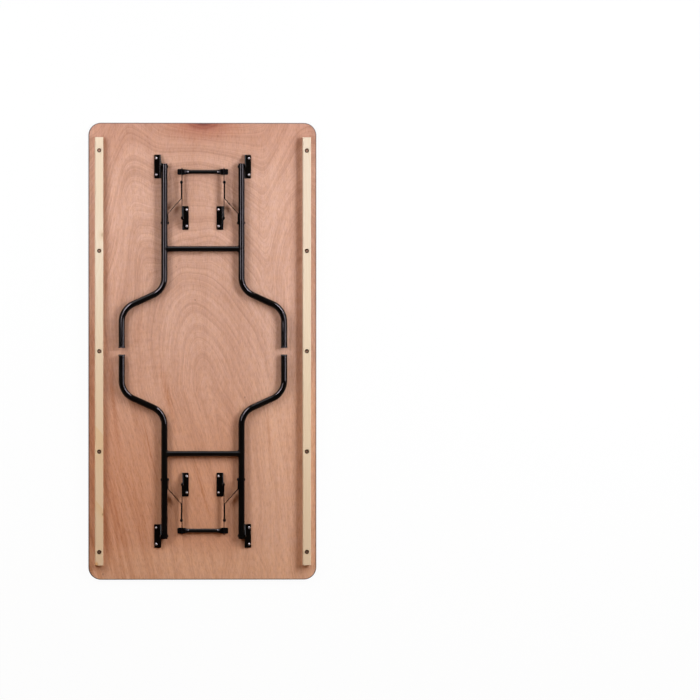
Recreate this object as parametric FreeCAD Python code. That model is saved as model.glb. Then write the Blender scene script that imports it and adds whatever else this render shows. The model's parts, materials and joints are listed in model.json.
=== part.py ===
import FreeCAD, Part
import math
import os

from FreeCAD import Vector

# Folding trestle table lying on its working face with both leg frames folded flat.
# The origin is the middle of the working face, +Z points out of the underside and +Y runs
# along the table towards end a. Lengths are millimetres, angles are degrees.

# Table top: plywood panel with a moulded edge band
TOP_LENGTH = 1830.0
TOP_WIDTH = 915.0
TOP_THICKNESS = 18.0
CORNER_RADIUS = 50.0
BAND_THICKNESS = 3.0
BAND_EDGE_ROUND = 1.2
BAND_TONGUE_DEPTH = 8.0
BAND_TONGUE_THICKNESS = 2.4
BAND_FIT = 0.1

# Softwood battens along both long sides of the underside
BATTEN_WIDTH = 32.0
BATTEN_HEIGHT = 36.0
BATTEN_EDGE_INSET = 24.5
BATTEN_END_INSET = 58.0
BATTEN_ARRIS = 2.0
BATTEN_BOLT_COUNT = 5
BATTEN_BOLT_END_DISTANCE = 53.0
COUNTERBORE_DIAMETER = 18.0
COUNTERBORE_DEPTH = 13.0

# Countersunk bolts, nuts and washers
BOLT_DIAMETER = 6.0
BOLT_HOLE_CLEARANCE = 0.2
BOLT_HEAD_RECESS = 0.3
BOLT_HEAD_LAND = 0.5
BOLT_END_CHAMFER = 0.8
BRACKET_BOLT_HEAD_DIAMETER = 14.0
BATTEN_BOLT_HEAD_DIAMETER = 12.0
THREAD_FIT = 0.05
WASHER_DIAMETER = 16.0
WASHER_THICKNESS = 1.6
NUT_ACROSS_FLATS = 10.0
NUT_HEIGHT = 5.0
NUT_CORNER_DIAMETER = 11.0
BOLT_PROUD_OF_NUT = 2.0
CAP_NUT_HEX_HEIGHT = 5.5
CAP_NUT_DOME_DIAMETER = 9.5
CAP_NUT_NECK_HEIGHT = 1.2
CAP_NUT_THREAD_DEPTH = 8.0
CAP_NUT_END_SPACE = 0.8

# Bent tubular leg frames
LEG_TUBE_DIAMETER = 25.4
LEG_TUBE_WALL = 1.5
LEG_SPACING = 310.0
LEG_PIVOT_INSET = 175.0
LEG_TUBE_OVERHANG = 12.0
LEG_SWING_CLEARANCE = 2.5
LEG_BEND_RADIUS = 76.0
SPLAY_LENGTH = 77.6
FOOT_STRAIGHT = 155.0
FOOT_GAP = 26.0
FOOT_BATTEN_GAP = 62.3
CROSSBAR_DIAMETER = 22.0
CROSSBAR_WALL = 1.5
CROSSBAR_DISTANCE = 330.0
WELD_GAP = 0.2

# Plastic foot plugs
FOOT_FLANGE_THICKNESS = 5.0
FOOT_FLANGE_PROUD = 0.8
FOOT_EDGE_ROUND = 1.5
FOOT_STEM_LENGTH = 26.0
FOOT_STEM_WALL = 2.2
FOOT_STEM_FIT = 0.15

# Pressed angle brackets, one pattern for the leg hinges and the stays
BRACKET_LENGTH = 95.0
BRACKET_FLANGE_WIDTH = 26.5
BRACKET_THICKNESS = 3.0
BRACKET_BEND_RADIUS = 2.0
BRACKET_CORNER_RADIUS = 4.0
BRACKET_SHOULDER_HEIGHT = 11.0
BRACKET_EAR_RADIUS = 12.0
BRACKET_BOLT_END_DISTANCE = 14.5
BRACKET_BOLT_EDGE_DISTANCE = 8.0

# Hinge pins and rivets
HINGE_PIN_DIAMETER = 8.0
HINGE_HEAD_DIAMETER = 14.0
HINGE_HEAD_HEIGHT = 3.0
RIVET_DIAMETER = 6.0
RIVET_HEAD_DIAMETER = 12.0
RIVET_HEAD_HEIGHT = 3.0
PIN_FIT = 0.05
PIN_RUNNING_CLEARANCE = 0.2
SIDE_CLEARANCE = 0.4

# Folding stays with their lock bar
STAY_BRACKET_SPACING = 165.0
STAY_PIVOT_SPACING = 206.0
LEG_RIVET_DISTANCE = 226.0
OVER_CENTRE = 1.0
STAY_THICKNESS = 3.0
STAY_CLEARANCE = 0.3
UPPER_STAY_WIDTH = 16.0
UPPER_STAY_TIP_RADIUS = 3.0
UPPER_STAY_TIP_PROUD = 4.5
LOWER_STAY_END_STRAIGHT = 38.0
LOWER_STAY_BEND_RADIUS = 4.5
LOWER_STAY_JOGGLE_ANGLE = 42.0
STOP_CLEARANCE = 0.3
LOCK_BAR_DIAMETER = 16.0
LOCK_BAR_WALL = 1.5
LOCK_BAR_KNEE_DISTANCE = 41.6
LOCK_BAR_OVERHANG = 16.2
PADDLE_MARGIN = 5.0
PADDLE_TRANSITION = 20.0
PADDLE_CORNER_RADIUS = 5.0
PADDLE_SIDE_ANGLE = 24.0

# Every cut runs past the surface by this much
CUT_OVERRUN = 2.0

FULL_TURN = 360.0
HEX_SIDES = 6
SIDES = {"left": -1, "right": 1}
ENDS = {"a": 1, "b": -1}
ACROSS = Vector(1, 0, 0)
ALONG = Vector(0, 1, 0)
UP = Vector(0, 0, 1)

# Places that follow from the sizes above
UNDERSIDE = TOP_THICKNESS
BATTEN_LENGTH = TOP_LENGTH - 2 * BATTEN_END_INSET
BATTEN_X = TOP_WIDTH / 2 - BATTEN_EDGE_INSET - BATTEN_WIDTH / 2
BATTEN_TOP = UNDERSIDE + BATTEN_HEIGHT
COUNTERBORE_FLOOR = BATTEN_TOP - COUNTERBORE_DEPTH
TUBE_RADIUS = LEG_TUBE_DIAMETER / 2
TUBE_BORE_RADIUS = TUBE_RADIUS - LEG_TUBE_WALL
PIVOT_Z = UNDERSIDE + math.hypot(TUBE_RADIUS, LEG_TUBE_OVERHANG) + LEG_SWING_CLEARANCE
LEG_X = LEG_SPACING / 2
LEG_PIVOT_Y = TOP_LENGTH / 2 - LEG_PIVOT_INSET
FOOT_X = BATTEN_X - BATTEN_WIDTH / 2 - FOOT_BATTEN_GAP - TUBE_RADIUS
FOOT_END_Y = FOOT_GAP / 2
CROSSBAR_Y = LEG_PIVOT_Y - CROSSBAR_DISTANCE
HINGE_WEB_X = LEG_X + TUBE_RADIUS + SIDE_CLEARANCE
STAY_WEB_X = STAY_BRACKET_SPACING / 2
STAY_PIVOT_Y = LEG_PIVOT_Y - STAY_PIVOT_SPACING
LEG_RIVET_Y = LEG_PIVOT_Y - LEG_RIVET_DISTANCE
BRACKET_BOLT_OFFSET = BRACKET_FLANGE_WIDTH - BRACKET_BOLT_EDGE_DISTANCE
BRACKET_BOLT_PITCH = BRACKET_LENGTH - 2 * BRACKET_BOLT_END_DISTANCE

# Stay lengths: both links lie on one line when folded, and the knee passes the line between
# its end pivots by the over-centre offset when the leg stands square to the top
STAY_SPAN = math.hypot(STAY_PIVOT_SPACING, LEG_RIVET_DISTANCE)
LINK_HALF_DIFFERENCE = (LEG_RIVET_DISTANCE - STAY_PIVOT_SPACING) / 2
KNEE_SPREAD = math.sqrt((STAY_SPAN / 2) ** 2 - LINK_HALF_DIFFERENCE**2)
KNEE_ALONG = STAY_SPAN / 2 - LINK_HALF_DIFFERENCE * math.sqrt(1 + (OVER_CENTRE / KNEE_SPREAD) ** 2)
UPPER_LINK = math.hypot(KNEE_ALONG, OVER_CENTRE)
LOWER_LINK = UPPER_LINK + 2 * LINK_HALF_DIFFERENCE
KNEE_Y = STAY_PIVOT_Y + UPPER_LINK
UPPER_OVERTURN = math.asin(OVER_CENTRE / UPPER_LINK)
LOWER_OVERTURN = math.asin(OVER_CENTRE / LOWER_LINK)
LEG_FOLD_ANGLE = 90.0
UPPER_STAY_TURN = math.degrees(math.atan2(LEG_RIVET_DISTANCE, STAY_PIVOT_SPACING) + UPPER_OVERTURN)
LOWER_STAY_TURN = math.degrees(math.pi + UPPER_OVERTURN + LOWER_OVERTURN)

# Stays lie side by side: bracket web, upper stay, lower stay, and the lower stay's far end
# beside the leg tube
UPPER_STAY_X = STAY_WEB_X + STAY_CLEARANCE
LOWER_STAY_X = UPPER_STAY_X + STAY_THICKNESS + STAY_CLEARANCE
LEG_INNER_X = LEG_X - TUBE_RADIUS
LOWER_STAY_END_X = LEG_INNER_X - SIDE_CLEARANCE - STAY_THICKNESS

# Flattened tube ends of the lock bar, and the lower stay's width where it meets them
PADDLE_THICKNESS = 2 * LOCK_BAR_WALL
PADDLE_WIDTH = (
    math.pi * (LOCK_BAR_DIAMETER - LOCK_BAR_WALL) / 2 - math.pi * LOCK_BAR_WALL / 2 + PADDLE_THICKNESS
)
LOCK_BAR_Y = KNEE_Y + LOCK_BAR_KNEE_DISTANCE
LOCK_BAR_Z = PIVOT_Z - UPPER_STAY_WIDTH / 2 - PADDLE_THICKNESS / 2
LOCK_BAR_END_X = UPPER_STAY_X + STAY_THICKNESS + LOCK_BAR_OVERHANG
PADDLE_START_X = UPPER_STAY_X - PADDLE_MARGIN
ROUND_END_X = PADDLE_START_X - PADDLE_TRANSITION
UPPER_STAY_TIP_Y = LOCK_BAR_Y + PADDLE_WIDTH / 2 + UPPER_STAY_TIP_PROUD
STOP_REACH = LOCK_BAR_KNEE_DISTANCE + PADDLE_WIDTH / 2
STOP_TURN = UPPER_OVERTURN + LOWER_OVERTURN
LOWER_STAY_HALF_WIDTH = (
    UPPER_STAY_WIDTH / 2 - STOP_CLEARANCE - STOP_REACH * math.sin(STOP_TURN)
) / math.cos(STOP_TURN)


def mirrored(shape, side, end):
    """A copy of a shape made on the right at end a, for the given side and end."""
    if side < 0:
        shape = shape.mirror(Vector(), ACROSS)
    if end < 0:
        shape = shape.mirror(Vector(), ALONG)
    return shape


def on_all_corners(shape):
    """Four copies of a shape made on the right at end a, one for each leg."""
    return [mirrored(shape, side, end) for end in ENDS.values() for side in SIDES.values()]


def on_both_sides(shape, end):
    """Two copies of a shape made on the right at end a, left and right at the given end."""
    return [mirrored(shape, side, end) for side in SIDES.values()]


def polygon(points):
    """Closed wire of straight edges."""
    return Part.makePolygon(points + points[:1])


def arc(start, middle, finish):
    return Part.Arc(start, middle, finish).toShape()


def rod(radius, start, direction, length):
    return Part.makeCylinder(radius, length, start, direction)


def turned(profile_points, axis):
    """Solid of revolution of a closed outline about an axis through the origin."""
    return Part.Face(polygon(profile_points)).revolve(Vector(), axis, FULL_TURN)


def bent_path(corners, radius):
    """Straight runs between the corners, joined by tangent bends of one radius."""
    edges = []
    start = corners[0]
    for before, corner, after in zip(corners, corners[1:], corners[2:]):
        back = (before - corner).normalize()
        ahead = (after - corner).normalize()
        half_angle = back.getAngle(ahead) / 2
        setback = radius / math.tan(half_angle)
        inward = (back + ahead).normalize()
        bend_start = corner + back * setback
        bend_middle = corner + inward * (radius / math.sin(half_angle) - radius)
        bend_end = corner + ahead * setback
        edges.append(Part.makeLine(start, bend_start))
        edges.append(arc(bend_start, bend_middle, bend_end))
        start = bend_end
    edges.append(Part.makeLine(start, corners[-1]))
    return Part.Wire(edges)


def swept(path, section):
    return path.makePipeShell([section], True, False)


def rounded_outline(length, width, start_radius, end_radius):
    """Bar outline in the YZ plane from y = 0 to its length, with a radius at each end's corners."""
    half = width / 2
    slant = math.sqrt(2) / 2

    def corner(radius, y_sign, z_sign):
        """The three points of a rounded corner, from the long edge to the end edge."""
        end_y = length if y_sign > 0 else 0
        centre = Vector(0, end_y - y_sign * radius, z_sign * (half - radius))
        on_edge = centre + Vector(0, 0, z_sign * radius)
        middle = centre + Vector(0, y_sign * radius * slant, z_sign * radius * slant)
        on_end = centre + Vector(0, y_sign * radius, 0)
        return on_edge, middle, on_end

    top_start = corner(start_radius, -1, 1)
    top_end = corner(end_radius, 1, 1)
    low_end = corner(end_radius, 1, -1)
    low_start = corner(start_radius, -1, -1)
    edges = [
        Part.makeLine(top_start[0], top_end[0]),
        arc(*top_end),
        arc(*reversed(low_end)),
        Part.makeLine(low_end[0], low_start[0]),
        arc(*low_start),
        arc(*reversed(top_start)),
    ]
    if end_radius < half:
        edges.append(Part.makeLine(top_end[2], low_end[2]))
    if start_radius < half:
        edges.append(Part.makeLine(low_start[2], top_start[2]))
    return Part.Wire(Part.__sortEdges__(edges))


def top_layer(inset, bottom, top):
    """Slab with the table's outline drawn in by an inset, between two heights."""
    half_width = TOP_WIDTH / 2 - inset
    half_length = TOP_LENGTH / 2 - inset
    corners = [
        Vector(-half_width, -half_length, bottom),
        Vector(half_width, -half_length, bottom),
        Vector(half_width, half_length, bottom),
        Vector(-half_width, half_length, bottom),
    ]
    slab = Part.Face(polygon(corners)).extrude(UP * (top - bottom))
    upright = [edge for edge in slab.Edges if edge.Vertexes[0].Z != edge.Vertexes[1].Z]
    return slab.makeFillet(CORNER_RADIUS - inset, upright)


def bracket_bolt_places():
    """Centres of the bracket bolts on the right at end a."""
    hinge_x = HINGE_WEB_X + BRACKET_BOLT_OFFSET
    stay_x = STAY_WEB_X - BRACKET_BOLT_OFFSET
    places = []
    for step in (-BRACKET_BOLT_PITCH / 2, BRACKET_BOLT_PITCH / 2):
        places.append(Vector(hinge_x, LEG_PIVOT_Y + step, 0))
        places.append(Vector(stay_x, STAY_PIVOT_Y + step, 0))
    return places


def batten_bolt_places():
    """Centres of the right batten's bolts, along its whole length."""
    first_y = -BATTEN_LENGTH / 2 + BATTEN_BOLT_END_DISTANCE
    pitch = -2 * first_y / (BATTEN_BOLT_COUNT - 1)
    return [Vector(BATTEN_X, first_y + pitch * step, 0) for step in range(BATTEN_BOLT_COUNT)]


def at_brackets(shape):
    """Copies of a fastener, one at every bracket bolt of the table."""
    corner_set = Part.makeCompound([shape.translated(place) for place in bracket_bolt_places()])
    return [solid for corner in on_all_corners(corner_set) for solid in corner.Solids]


def at_battens(shape):
    """Copies of a fastener, one at every bolt of both battens."""
    row = Part.makeCompound([shape.translated(place) for place in batten_bolt_places()])
    return [solid for copy in on_both_sides(row, 1) for solid in copy.Solids]


def countersunk(head_radius, shank_radius, bottom, top):
    """Countersunk head and shank on the Z axis; a bolt and its hole share the head's heights."""
    cone_start = BOLT_HEAD_RECESS + BOLT_HEAD_LAND
    cone_end = cone_start + head_radius - shank_radius
    return turned(
        [
            Vector(0, 0, bottom),
            Vector(head_radius, 0, bottom),
            Vector(head_radius, 0, cone_start),
            Vector(shank_radius, 0, cone_end),
            Vector(shank_radius, 0, top - BOLT_END_CHAMFER),
            Vector(shank_radius - BOLT_END_CHAMFER, 0, top),
            Vector(0, 0, top),
        ],
        UP,
    )


def bolt_hole(head_diameter):
    """Cutter for a countersunk hole through the panel."""
    return countersunk(
        head_diameter / 2 + BOLT_HOLE_CLEARANCE,
        BOLT_DIAMETER / 2 + BOLT_HOLE_CLEARANCE,
        -CUT_OVERRUN,
        TOP_THICKNESS + CUT_OVERRUN,
    )


def table_top():
    """Plywood panel, grooved for the edge band and drilled for every bolt."""
    panel = top_layer(BAND_THICKNESS + BAND_FIT, 0, TOP_THICKNESS)
    groove_low = TOP_THICKNESS / 2 - BAND_TONGUE_THICKNESS / 2 - BAND_FIT
    groove_high = TOP_THICKNESS / 2 + BAND_TONGUE_THICKNESS / 2 + BAND_FIT
    groove_floor = BAND_THICKNESS + BAND_TONGUE_DEPTH + BAND_FIT
    groove = top_layer(BAND_THICKNESS, groove_low, groove_high)
    groove = groove.cut(top_layer(groove_floor, groove_low, groove_high))
    holes = at_brackets(bolt_hole(BRACKET_BOLT_HEAD_DIAMETER))
    holes += at_battens(bolt_hole(BATTEN_BOLT_HEAD_DIAMETER))
    return panel.cut([groove] + holes)


def edge_band():
    """Moulded band round the panel's edge, held by a tongue in the panel's groove."""
    outer = top_layer(0, 0, TOP_THICKNESS)
    rims = [edge for edge in outer.Edges if edge.Vertexes[0].Z == edge.Vertexes[1].Z]
    outer = outer.makeFillet(BAND_EDGE_ROUND, rims)
    band = outer.cut(top_layer(BAND_THICKNESS, -CUT_OVERRUN, TOP_THICKNESS + CUT_OVERRUN))
    tongue_low = TOP_THICKNESS / 2 - BAND_TONGUE_THICKNESS / 2
    tongue_high = tongue_low + BAND_TONGUE_THICKNESS
    tongue = top_layer(BAND_THICKNESS, tongue_low, tongue_high)
    tongue = tongue.cut(top_layer(BAND_THICKNESS + BAND_TONGUE_DEPTH, tongue_low, tongue_high))
    return band.fuse(tongue).removeSplitter()


def batten():
    """Right-hand batten with eased arrises and counterbored bolt holes."""
    low_corner = Vector(BATTEN_X - BATTEN_WIDTH / 2, -BATTEN_LENGTH / 2, UNDERSIDE)
    bar = Part.makeBox(BATTEN_WIDTH, BATTEN_LENGTH, BATTEN_HEIGHT, low_corner)
    upper_arrises = [
        edge for edge in bar.Edges if edge.Vertexes[0].Y != edge.Vertexes[1].Y and edge.Vertexes[0].Z > UNDERSIDE
    ]
    bar = bar.makeFillet(BATTEN_ARRIS, upper_arrises)
    shank_hole = rod(BOLT_DIAMETER / 2 + BOLT_HOLE_CLEARANCE, Vector(), UP, BATTEN_TOP)
    counterbore = rod(COUNTERBORE_DIAMETER / 2, UP * COUNTERBORE_FLOOR, UP, COUNTERBORE_DEPTH + CUT_OVERRUN)
    cutter = shank_hole.fuse(counterbore)
    return bar.cut([cutter.translated(place) for place in batten_bolt_places()])


def hex_prism(bottom, height):
    """Hexagon bar of the nuts' size on the Z axis."""
    corner_radius = NUT_ACROSS_FLATS / math.sqrt(3)
    corners = []
    for side in range(HEX_SIDES):
        angle = 2 * math.pi * side / HEX_SIDES
        corners.append(Vector(corner_radius * math.cos(angle), corner_radius * math.sin(angle), bottom))
    return Part.Face(polygon(corners)).extrude(UP * height)


def nut_blank(bottom, height):
    """Hexagon with its upper corners turned back to a cone."""
    corner_radius = NUT_ACROSS_FLATS / math.sqrt(3)
    drop = corner_radius - NUT_CORNER_DIAMETER / 2
    top = bottom + height
    turned_blank = turned(
        [
            Vector(0, 0, bottom),
            Vector(corner_radius, 0, bottom),
            Vector(corner_radius, 0, top - drop),
            Vector(NUT_CORNER_DIAMETER / 2, 0, top),
            Vector(0, 0, top),
        ],
        UP,
    )
    return hex_prism(bottom, height).common(turned_blank)


def batten_washer():
    hole = rod(BOLT_DIAMETER / 2 + BOLT_HOLE_CLEARANCE, UP * COUNTERBORE_FLOOR, UP, WASHER_THICKNESS)
    return rod(WASHER_DIAMETER / 2, UP * COUNTERBORE_FLOOR, UP, WASHER_THICKNESS).cut(hole)


def batten_nut():
    bottom = COUNTERBORE_FLOOR + WASHER_THICKNESS
    bore = rod(BOLT_DIAMETER / 2 + THREAD_FIT, UP * bottom, UP, NUT_HEIGHT)
    return nut_blank(bottom, NUT_HEIGHT).cut(bore)


def batten_bolt():
    end = COUNTERBORE_FLOOR + WASHER_THICKNESS + NUT_HEIGHT + BOLT_PROUD_OF_NUT
    return countersunk(BATTEN_BOLT_HEAD_DIAMETER / 2, BOLT_DIAMETER / 2, BOLT_HEAD_RECESS, end)


def cap_nut():
    """Domed nut with a blind threaded hole, seated on a bracket's flange."""
    seat = UNDERSIDE + BRACKET_THICKNESS
    dome_radius = CAP_NUT_DOME_DIAMETER / 2
    neck_low = seat + CAP_NUT_HEX_HEIGHT
    neck_high = neck_low + CAP_NUT_NECK_HEIGHT
    neck = rod(dome_radius, UP * neck_low, UP, CAP_NUT_NECK_HEIGHT)
    ball = Part.makeSphere(dome_radius, UP * neck_high)
    dome = ball.common(rod(CAP_NUT_DOME_DIAMETER, UP * neck_high, UP, dome_radius))
    bore = rod(BOLT_DIAMETER / 2 + THREAD_FIT, UP * seat, UP, CAP_NUT_THREAD_DEPTH)
    return nut_blank(seat, CAP_NUT_HEX_HEIGHT).fuse([neck, dome]).cut(bore).removeSplitter()


def bracket_bolt():
    end = UNDERSIDE + BRACKET_THICKNESS + CAP_NUT_THREAD_DEPTH - CAP_NUT_END_SPACE
    return countersunk(BRACKET_BOLT_HEAD_DIAMETER / 2, BOLT_DIAMETER / 2, BOLT_HEAD_RECESS, end)


def tangent_point(corner, centre, radius, side):
    """Where a line from a corner in the YZ plane touches a circle, on the given side."""
    reach = corner - centre
    angle = math.atan2(reach.z, reach.y) + side * math.acos(radius / reach.Length)
    return centre + Vector(0, radius * math.cos(angle), radius * math.sin(angle))


def bracket(hole_radius):
    """Pressed angle at y = 0: the web's pivot face at x = 0, the flange on the underside towards +X."""
    outer_bend = BRACKET_BEND_RADIUS + BRACKET_THICKNESS
    flange_top = UNDERSIDE + BRACKET_THICKNESS
    ear_centre = Vector(0, 0, PIVOT_Z)
    ear_top = ear_centre + UP * BRACKET_EAR_RADIUS
    half_length = BRACKET_LENGTH / 2
    slant = math.sqrt(2) / 2
    start = Vector(0, -half_length, 0)

    outer_centre = start + Vector(outer_bend, 0, UNDERSIDE + outer_bend)
    inner_arc = BRACKET_BEND_RADIUS * slant
    outer_arc = outer_bend * slant
    flange_low = start + Vector(outer_bend, 0, UNDERSIDE)
    tip_low = start + Vector(BRACKET_FLANGE_WIDTH, 0, UNDERSIDE)
    tip_high = start + Vector(BRACKET_FLANGE_WIDTH, 0, flange_top)
    flange_high = start + Vector(outer_bend, 0, flange_top)
    web_inner = start + Vector(BRACKET_THICKNESS, 0, UNDERSIDE + outer_bend)
    web_inner_top = start + Vector(BRACKET_THICKNESS, 0, ear_top.z)
    web_outer_top = start + Vector(0, 0, ear_top.z)
    web_outer = start + Vector(0, 0, UNDERSIDE + outer_bend)
    section = Part.Wire(
        [
            Part.makeLine(flange_low, tip_low),
            Part.makeLine(tip_low, tip_high),
            Part.makeLine(tip_high, flange_high),
            arc(flange_high, outer_centre - Vector(inner_arc, 0, inner_arc), web_inner),
            Part.makeLine(web_inner, web_inner_top),
            Part.makeLine(web_inner_top, web_outer_top),
            Part.makeLine(web_outer_top, web_outer),
            arc(web_outer, outer_centre - Vector(outer_arc, 0, outer_arc), flange_low),
        ]
    )
    angle_bar = Part.Face(section).extrude(ALONG * BRACKET_LENGTH)
    tip_edges = [
        edge
        for edge in angle_bar.Edges
        if edge.Vertexes[0].X == BRACKET_FLANGE_WIDTH and edge.Vertexes[0].Z != edge.Vertexes[1].Z
    ]
    angle_bar = angle_bar.makeFillet(BRACKET_CORNER_RADIUS, tip_edges)

    shoulder = Vector(0, half_length, UNDERSIDE + BRACKET_SHOULDER_HEIGHT)
    other_shoulder = Vector(0, -half_length, UNDERSIDE + BRACKET_SHOULDER_HEIGHT)
    foot = Vector(0, half_length, UNDERSIDE)
    other_foot = Vector(0, -half_length, UNDERSIDE)
    ear_start = tangent_point(shoulder, ear_centre, BRACKET_EAR_RADIUS, 1)
    ear_end = tangent_point(other_shoulder, ear_centre, BRACKET_EAR_RADIUS, -1)
    side_view = Part.Wire(
        [
            Part.makeLine(other_foot, foot),
            Part.makeLine(foot, shoulder),
            Part.makeLine(shoulder, ear_start),
            arc(ear_start, ear_top, ear_end),
            Part.makeLine(ear_end, other_shoulder),
            Part.makeLine(other_shoulder, other_foot),
        ]
    )
    blank = angle_bar.common(Part.Face(side_view).extrude(ACROSS * BRACKET_FLANGE_WIDTH))
    holes = [rod(hole_radius, ear_centre, ACROSS, BRACKET_THICKNESS)]
    bolt_hole_radius = BOLT_DIAMETER / 2 + BOLT_HOLE_CLEARANCE
    for step in (-BRACKET_BOLT_PITCH / 2, BRACKET_BOLT_PITCH / 2):
        bolt_foot = Vector(BRACKET_BOLT_OFFSET, step, UNDERSIDE)
        holes.append(rod(bolt_hole_radius, bolt_foot, UP, BRACKET_THICKNESS))
    return blank.cut(holes)


def hinge_bracket():
    """Leg bracket on the right at end a, with its flange outwards."""
    return bracket(HINGE_PIN_DIAMETER / 2 + PIN_FIT).translated(Vector(HINGE_WEB_X, LEG_PIVOT_Y, 0))


def stay_bracket():
    """Stay bracket on the right at end a, with its flange inwards."""
    turned_round = bracket(RIVET_DIAMETER / 2 + PIN_FIT).mirror(Vector(), ACROSS)
    return turned_round.translated(Vector(STAY_WEB_X, STAY_PIVOT_Y, 0))


def domed_head(diameter, height):
    """Round rivet head standing on the YZ plane towards +X."""
    radius = diameter / 2
    ball_radius = (radius**2 + height**2) / (2 * height)
    ball = Part.makeSphere(ball_radius, ACROSS * (height - ball_radius))
    return ball.common(rod(diameter, Vector(), ACROSS, diameter))


def shank(diameter, start_x, end_x):
    return rod(diameter / 2, ACROSS * start_x, ACROSS, end_x - start_x)


def headed_pin(diameter, head_diameter, head_height, start_x, end_x):
    """Pin along X with a domed head at each end of its grip."""
    head = domed_head(head_diameter, head_height)
    heads = [head.translated(ACROSS * end_x), head.mirror(Vector(), ACROSS).translated(ACROSS * start_x)]
    return shank(diameter, start_x, end_x).fuse(heads).removeSplitter()


def at_pivot(shape, pivot_y):
    """A pin or rivet moved from the X axis to its pivot line."""
    return shape.translated(Vector(0, pivot_y, PIVOT_Z))


def hinge_pin():
    """Fixed pin through the bracket's web and across the leg tube."""
    start_x = LEG_INNER_X - SIDE_CLEARANCE
    end_x = HINGE_WEB_X + BRACKET_THICKNESS
    pin = headed_pin(HINGE_PIN_DIAMETER, HINGE_HEAD_DIAMETER, HINGE_HEAD_HEIGHT, start_x, end_x)
    return at_pivot(pin, LEG_PIVOT_Y)


def stay_bracket_rivet():
    start_x = STAY_WEB_X - BRACKET_THICKNESS
    end_x = UPPER_STAY_X + STAY_THICKNESS + STAY_CLEARANCE
    rivet = headed_pin(RIVET_DIAMETER, RIVET_HEAD_DIAMETER, RIVET_HEAD_HEIGHT, start_x, end_x)
    return at_pivot(rivet, STAY_PIVOT_Y)


def knee_rivet():
    end_x = LOWER_STAY_X + STAY_THICKNESS + STAY_CLEARANCE
    rivet = headed_pin(RIVET_DIAMETER, RIVET_HEAD_DIAMETER, RIVET_HEAD_HEIGHT, UPPER_STAY_X, end_x)
    return at_pivot(rivet, KNEE_Y)


def leg_stay_rivet():
    """Outer half of the leg rivet, fixed in the leg tube."""
    outer_x = LEG_X + TUBE_RADIUS
    head = domed_head(RIVET_HEAD_DIAMETER, RIVET_HEAD_HEIGHT).translated(ACROSS * outer_x)
    rivet = shank(RIVET_DIAMETER, LEG_INNER_X, outer_x).fuse(head).removeSplitter()
    return at_pivot(rivet, LEG_RIVET_Y)


def stay_end_rivet():
    """Inner half of the leg rivet, fixed in the lower stay."""
    head = domed_head(RIVET_HEAD_DIAMETER, RIVET_HEAD_HEIGHT).mirror(Vector(), ACROSS)
    head = head.translated(ACROSS * LOWER_STAY_END_X)
    end_x = LOWER_STAY_END_X + STAY_THICKNESS
    rivet = shank(RIVET_DIAMETER, LOWER_STAY_END_X, end_x).fuse(head).removeSplitter()
    return at_pivot(rivet, LEG_RIVET_Y)


def leg_tube():
    """Bent tube from the hinge to the foot, open at both ends and drilled for its pins."""
    second_bend_y = FOOT_END_Y + FOOT_STRAIGHT
    first_bend_y = second_bend_y + SPLAY_LENGTH
    start = Vector(LEG_X, LEG_PIVOT_Y + LEG_TUBE_OVERHANG, PIVOT_Z)
    corners = [
        start,
        Vector(LEG_X, first_bend_y, PIVOT_Z),
        Vector(FOOT_X, second_bend_y, PIVOT_Z),
        Vector(FOOT_X, FOOT_END_Y + FOOT_FLANGE_THICKNESS, PIVOT_Z),
    ]
    path = bent_path(corners, LEG_BEND_RADIUS)
    outside = swept(path, Part.Wire(Part.makeCircle(TUBE_RADIUS, start, ALONG)))
    inside = swept(path, Part.Wire(Part.makeCircle(TUBE_BORE_RADIUS, start, ALONG)))
    across_start = LEG_X - LEG_TUBE_DIAMETER
    across_length = 2 * LEG_TUBE_DIAMETER
    hinge_hole_radius = HINGE_PIN_DIAMETER / 2 + PIN_RUNNING_CLEARANCE
    hinge_hole = rod(hinge_hole_radius, Vector(across_start, LEG_PIVOT_Y, PIVOT_Z), ACROSS, across_length)
    rivet_hole_radius = RIVET_DIAMETER / 2 + PIN_FIT
    rivet_hole = rod(rivet_hole_radius, Vector(across_start, LEG_RIVET_Y, PIVOT_Z), ACROSS, across_length)
    return outside.cut([inside, hinge_hole, rivet_hole])


def crossbar():
    """Tube between the legs at end a, coped at both ends to the leg tubes."""
    start = Vector(-LEG_X, CROSSBAR_Y, PIVOT_Z)
    tube = rod(CROSSBAR_DIAMETER / 2, start, ACROSS, LEG_SPACING)
    bore = rod(CROSSBAR_DIAMETER / 2 - CROSSBAR_WALL, start, ACROSS, LEG_SPACING)
    cope_start = CROSSBAR_Y - CROSSBAR_DIAMETER
    copes = [
        rod(TUBE_RADIUS + WELD_GAP, Vector(side * LEG_X, cope_start, PIVOT_Z), ALONG, 2 * CROSSBAR_DIAMETER)
        for side in SIDES.values()
    ]
    return tube.cut([bore] + copes)


def foot():
    """Plug in the leg tube's lower end, with a flange to stand on and a hollow stem."""
    sole = Vector(FOOT_X, FOOT_END_Y, PIVOT_Z)
    flange = rod(TUBE_RADIUS + FOOT_FLANGE_PROUD, sole, ALONG, FOOT_FLANGE_THICKNESS)
    sole_edges = [edge for edge in flange.Edges if edge.BoundBox.YMax < FOOT_END_Y + FOOT_EDGE_ROUND]
    flange = flange.makeFillet(FOOT_EDGE_ROUND, sole_edges)
    stem_radius = TUBE_BORE_RADIUS - FOOT_STEM_FIT
    stem_start = sole + ALONG * FOOT_FLANGE_THICKNESS
    stem = rod(stem_radius, stem_start, ALONG, FOOT_STEM_LENGTH)
    hollow = rod(stem_radius - FOOT_STEM_WALL, stem_start, ALONG, FOOT_STEM_LENGTH)
    return flange.fuse(stem.cut(hollow)).removeSplitter()


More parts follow.
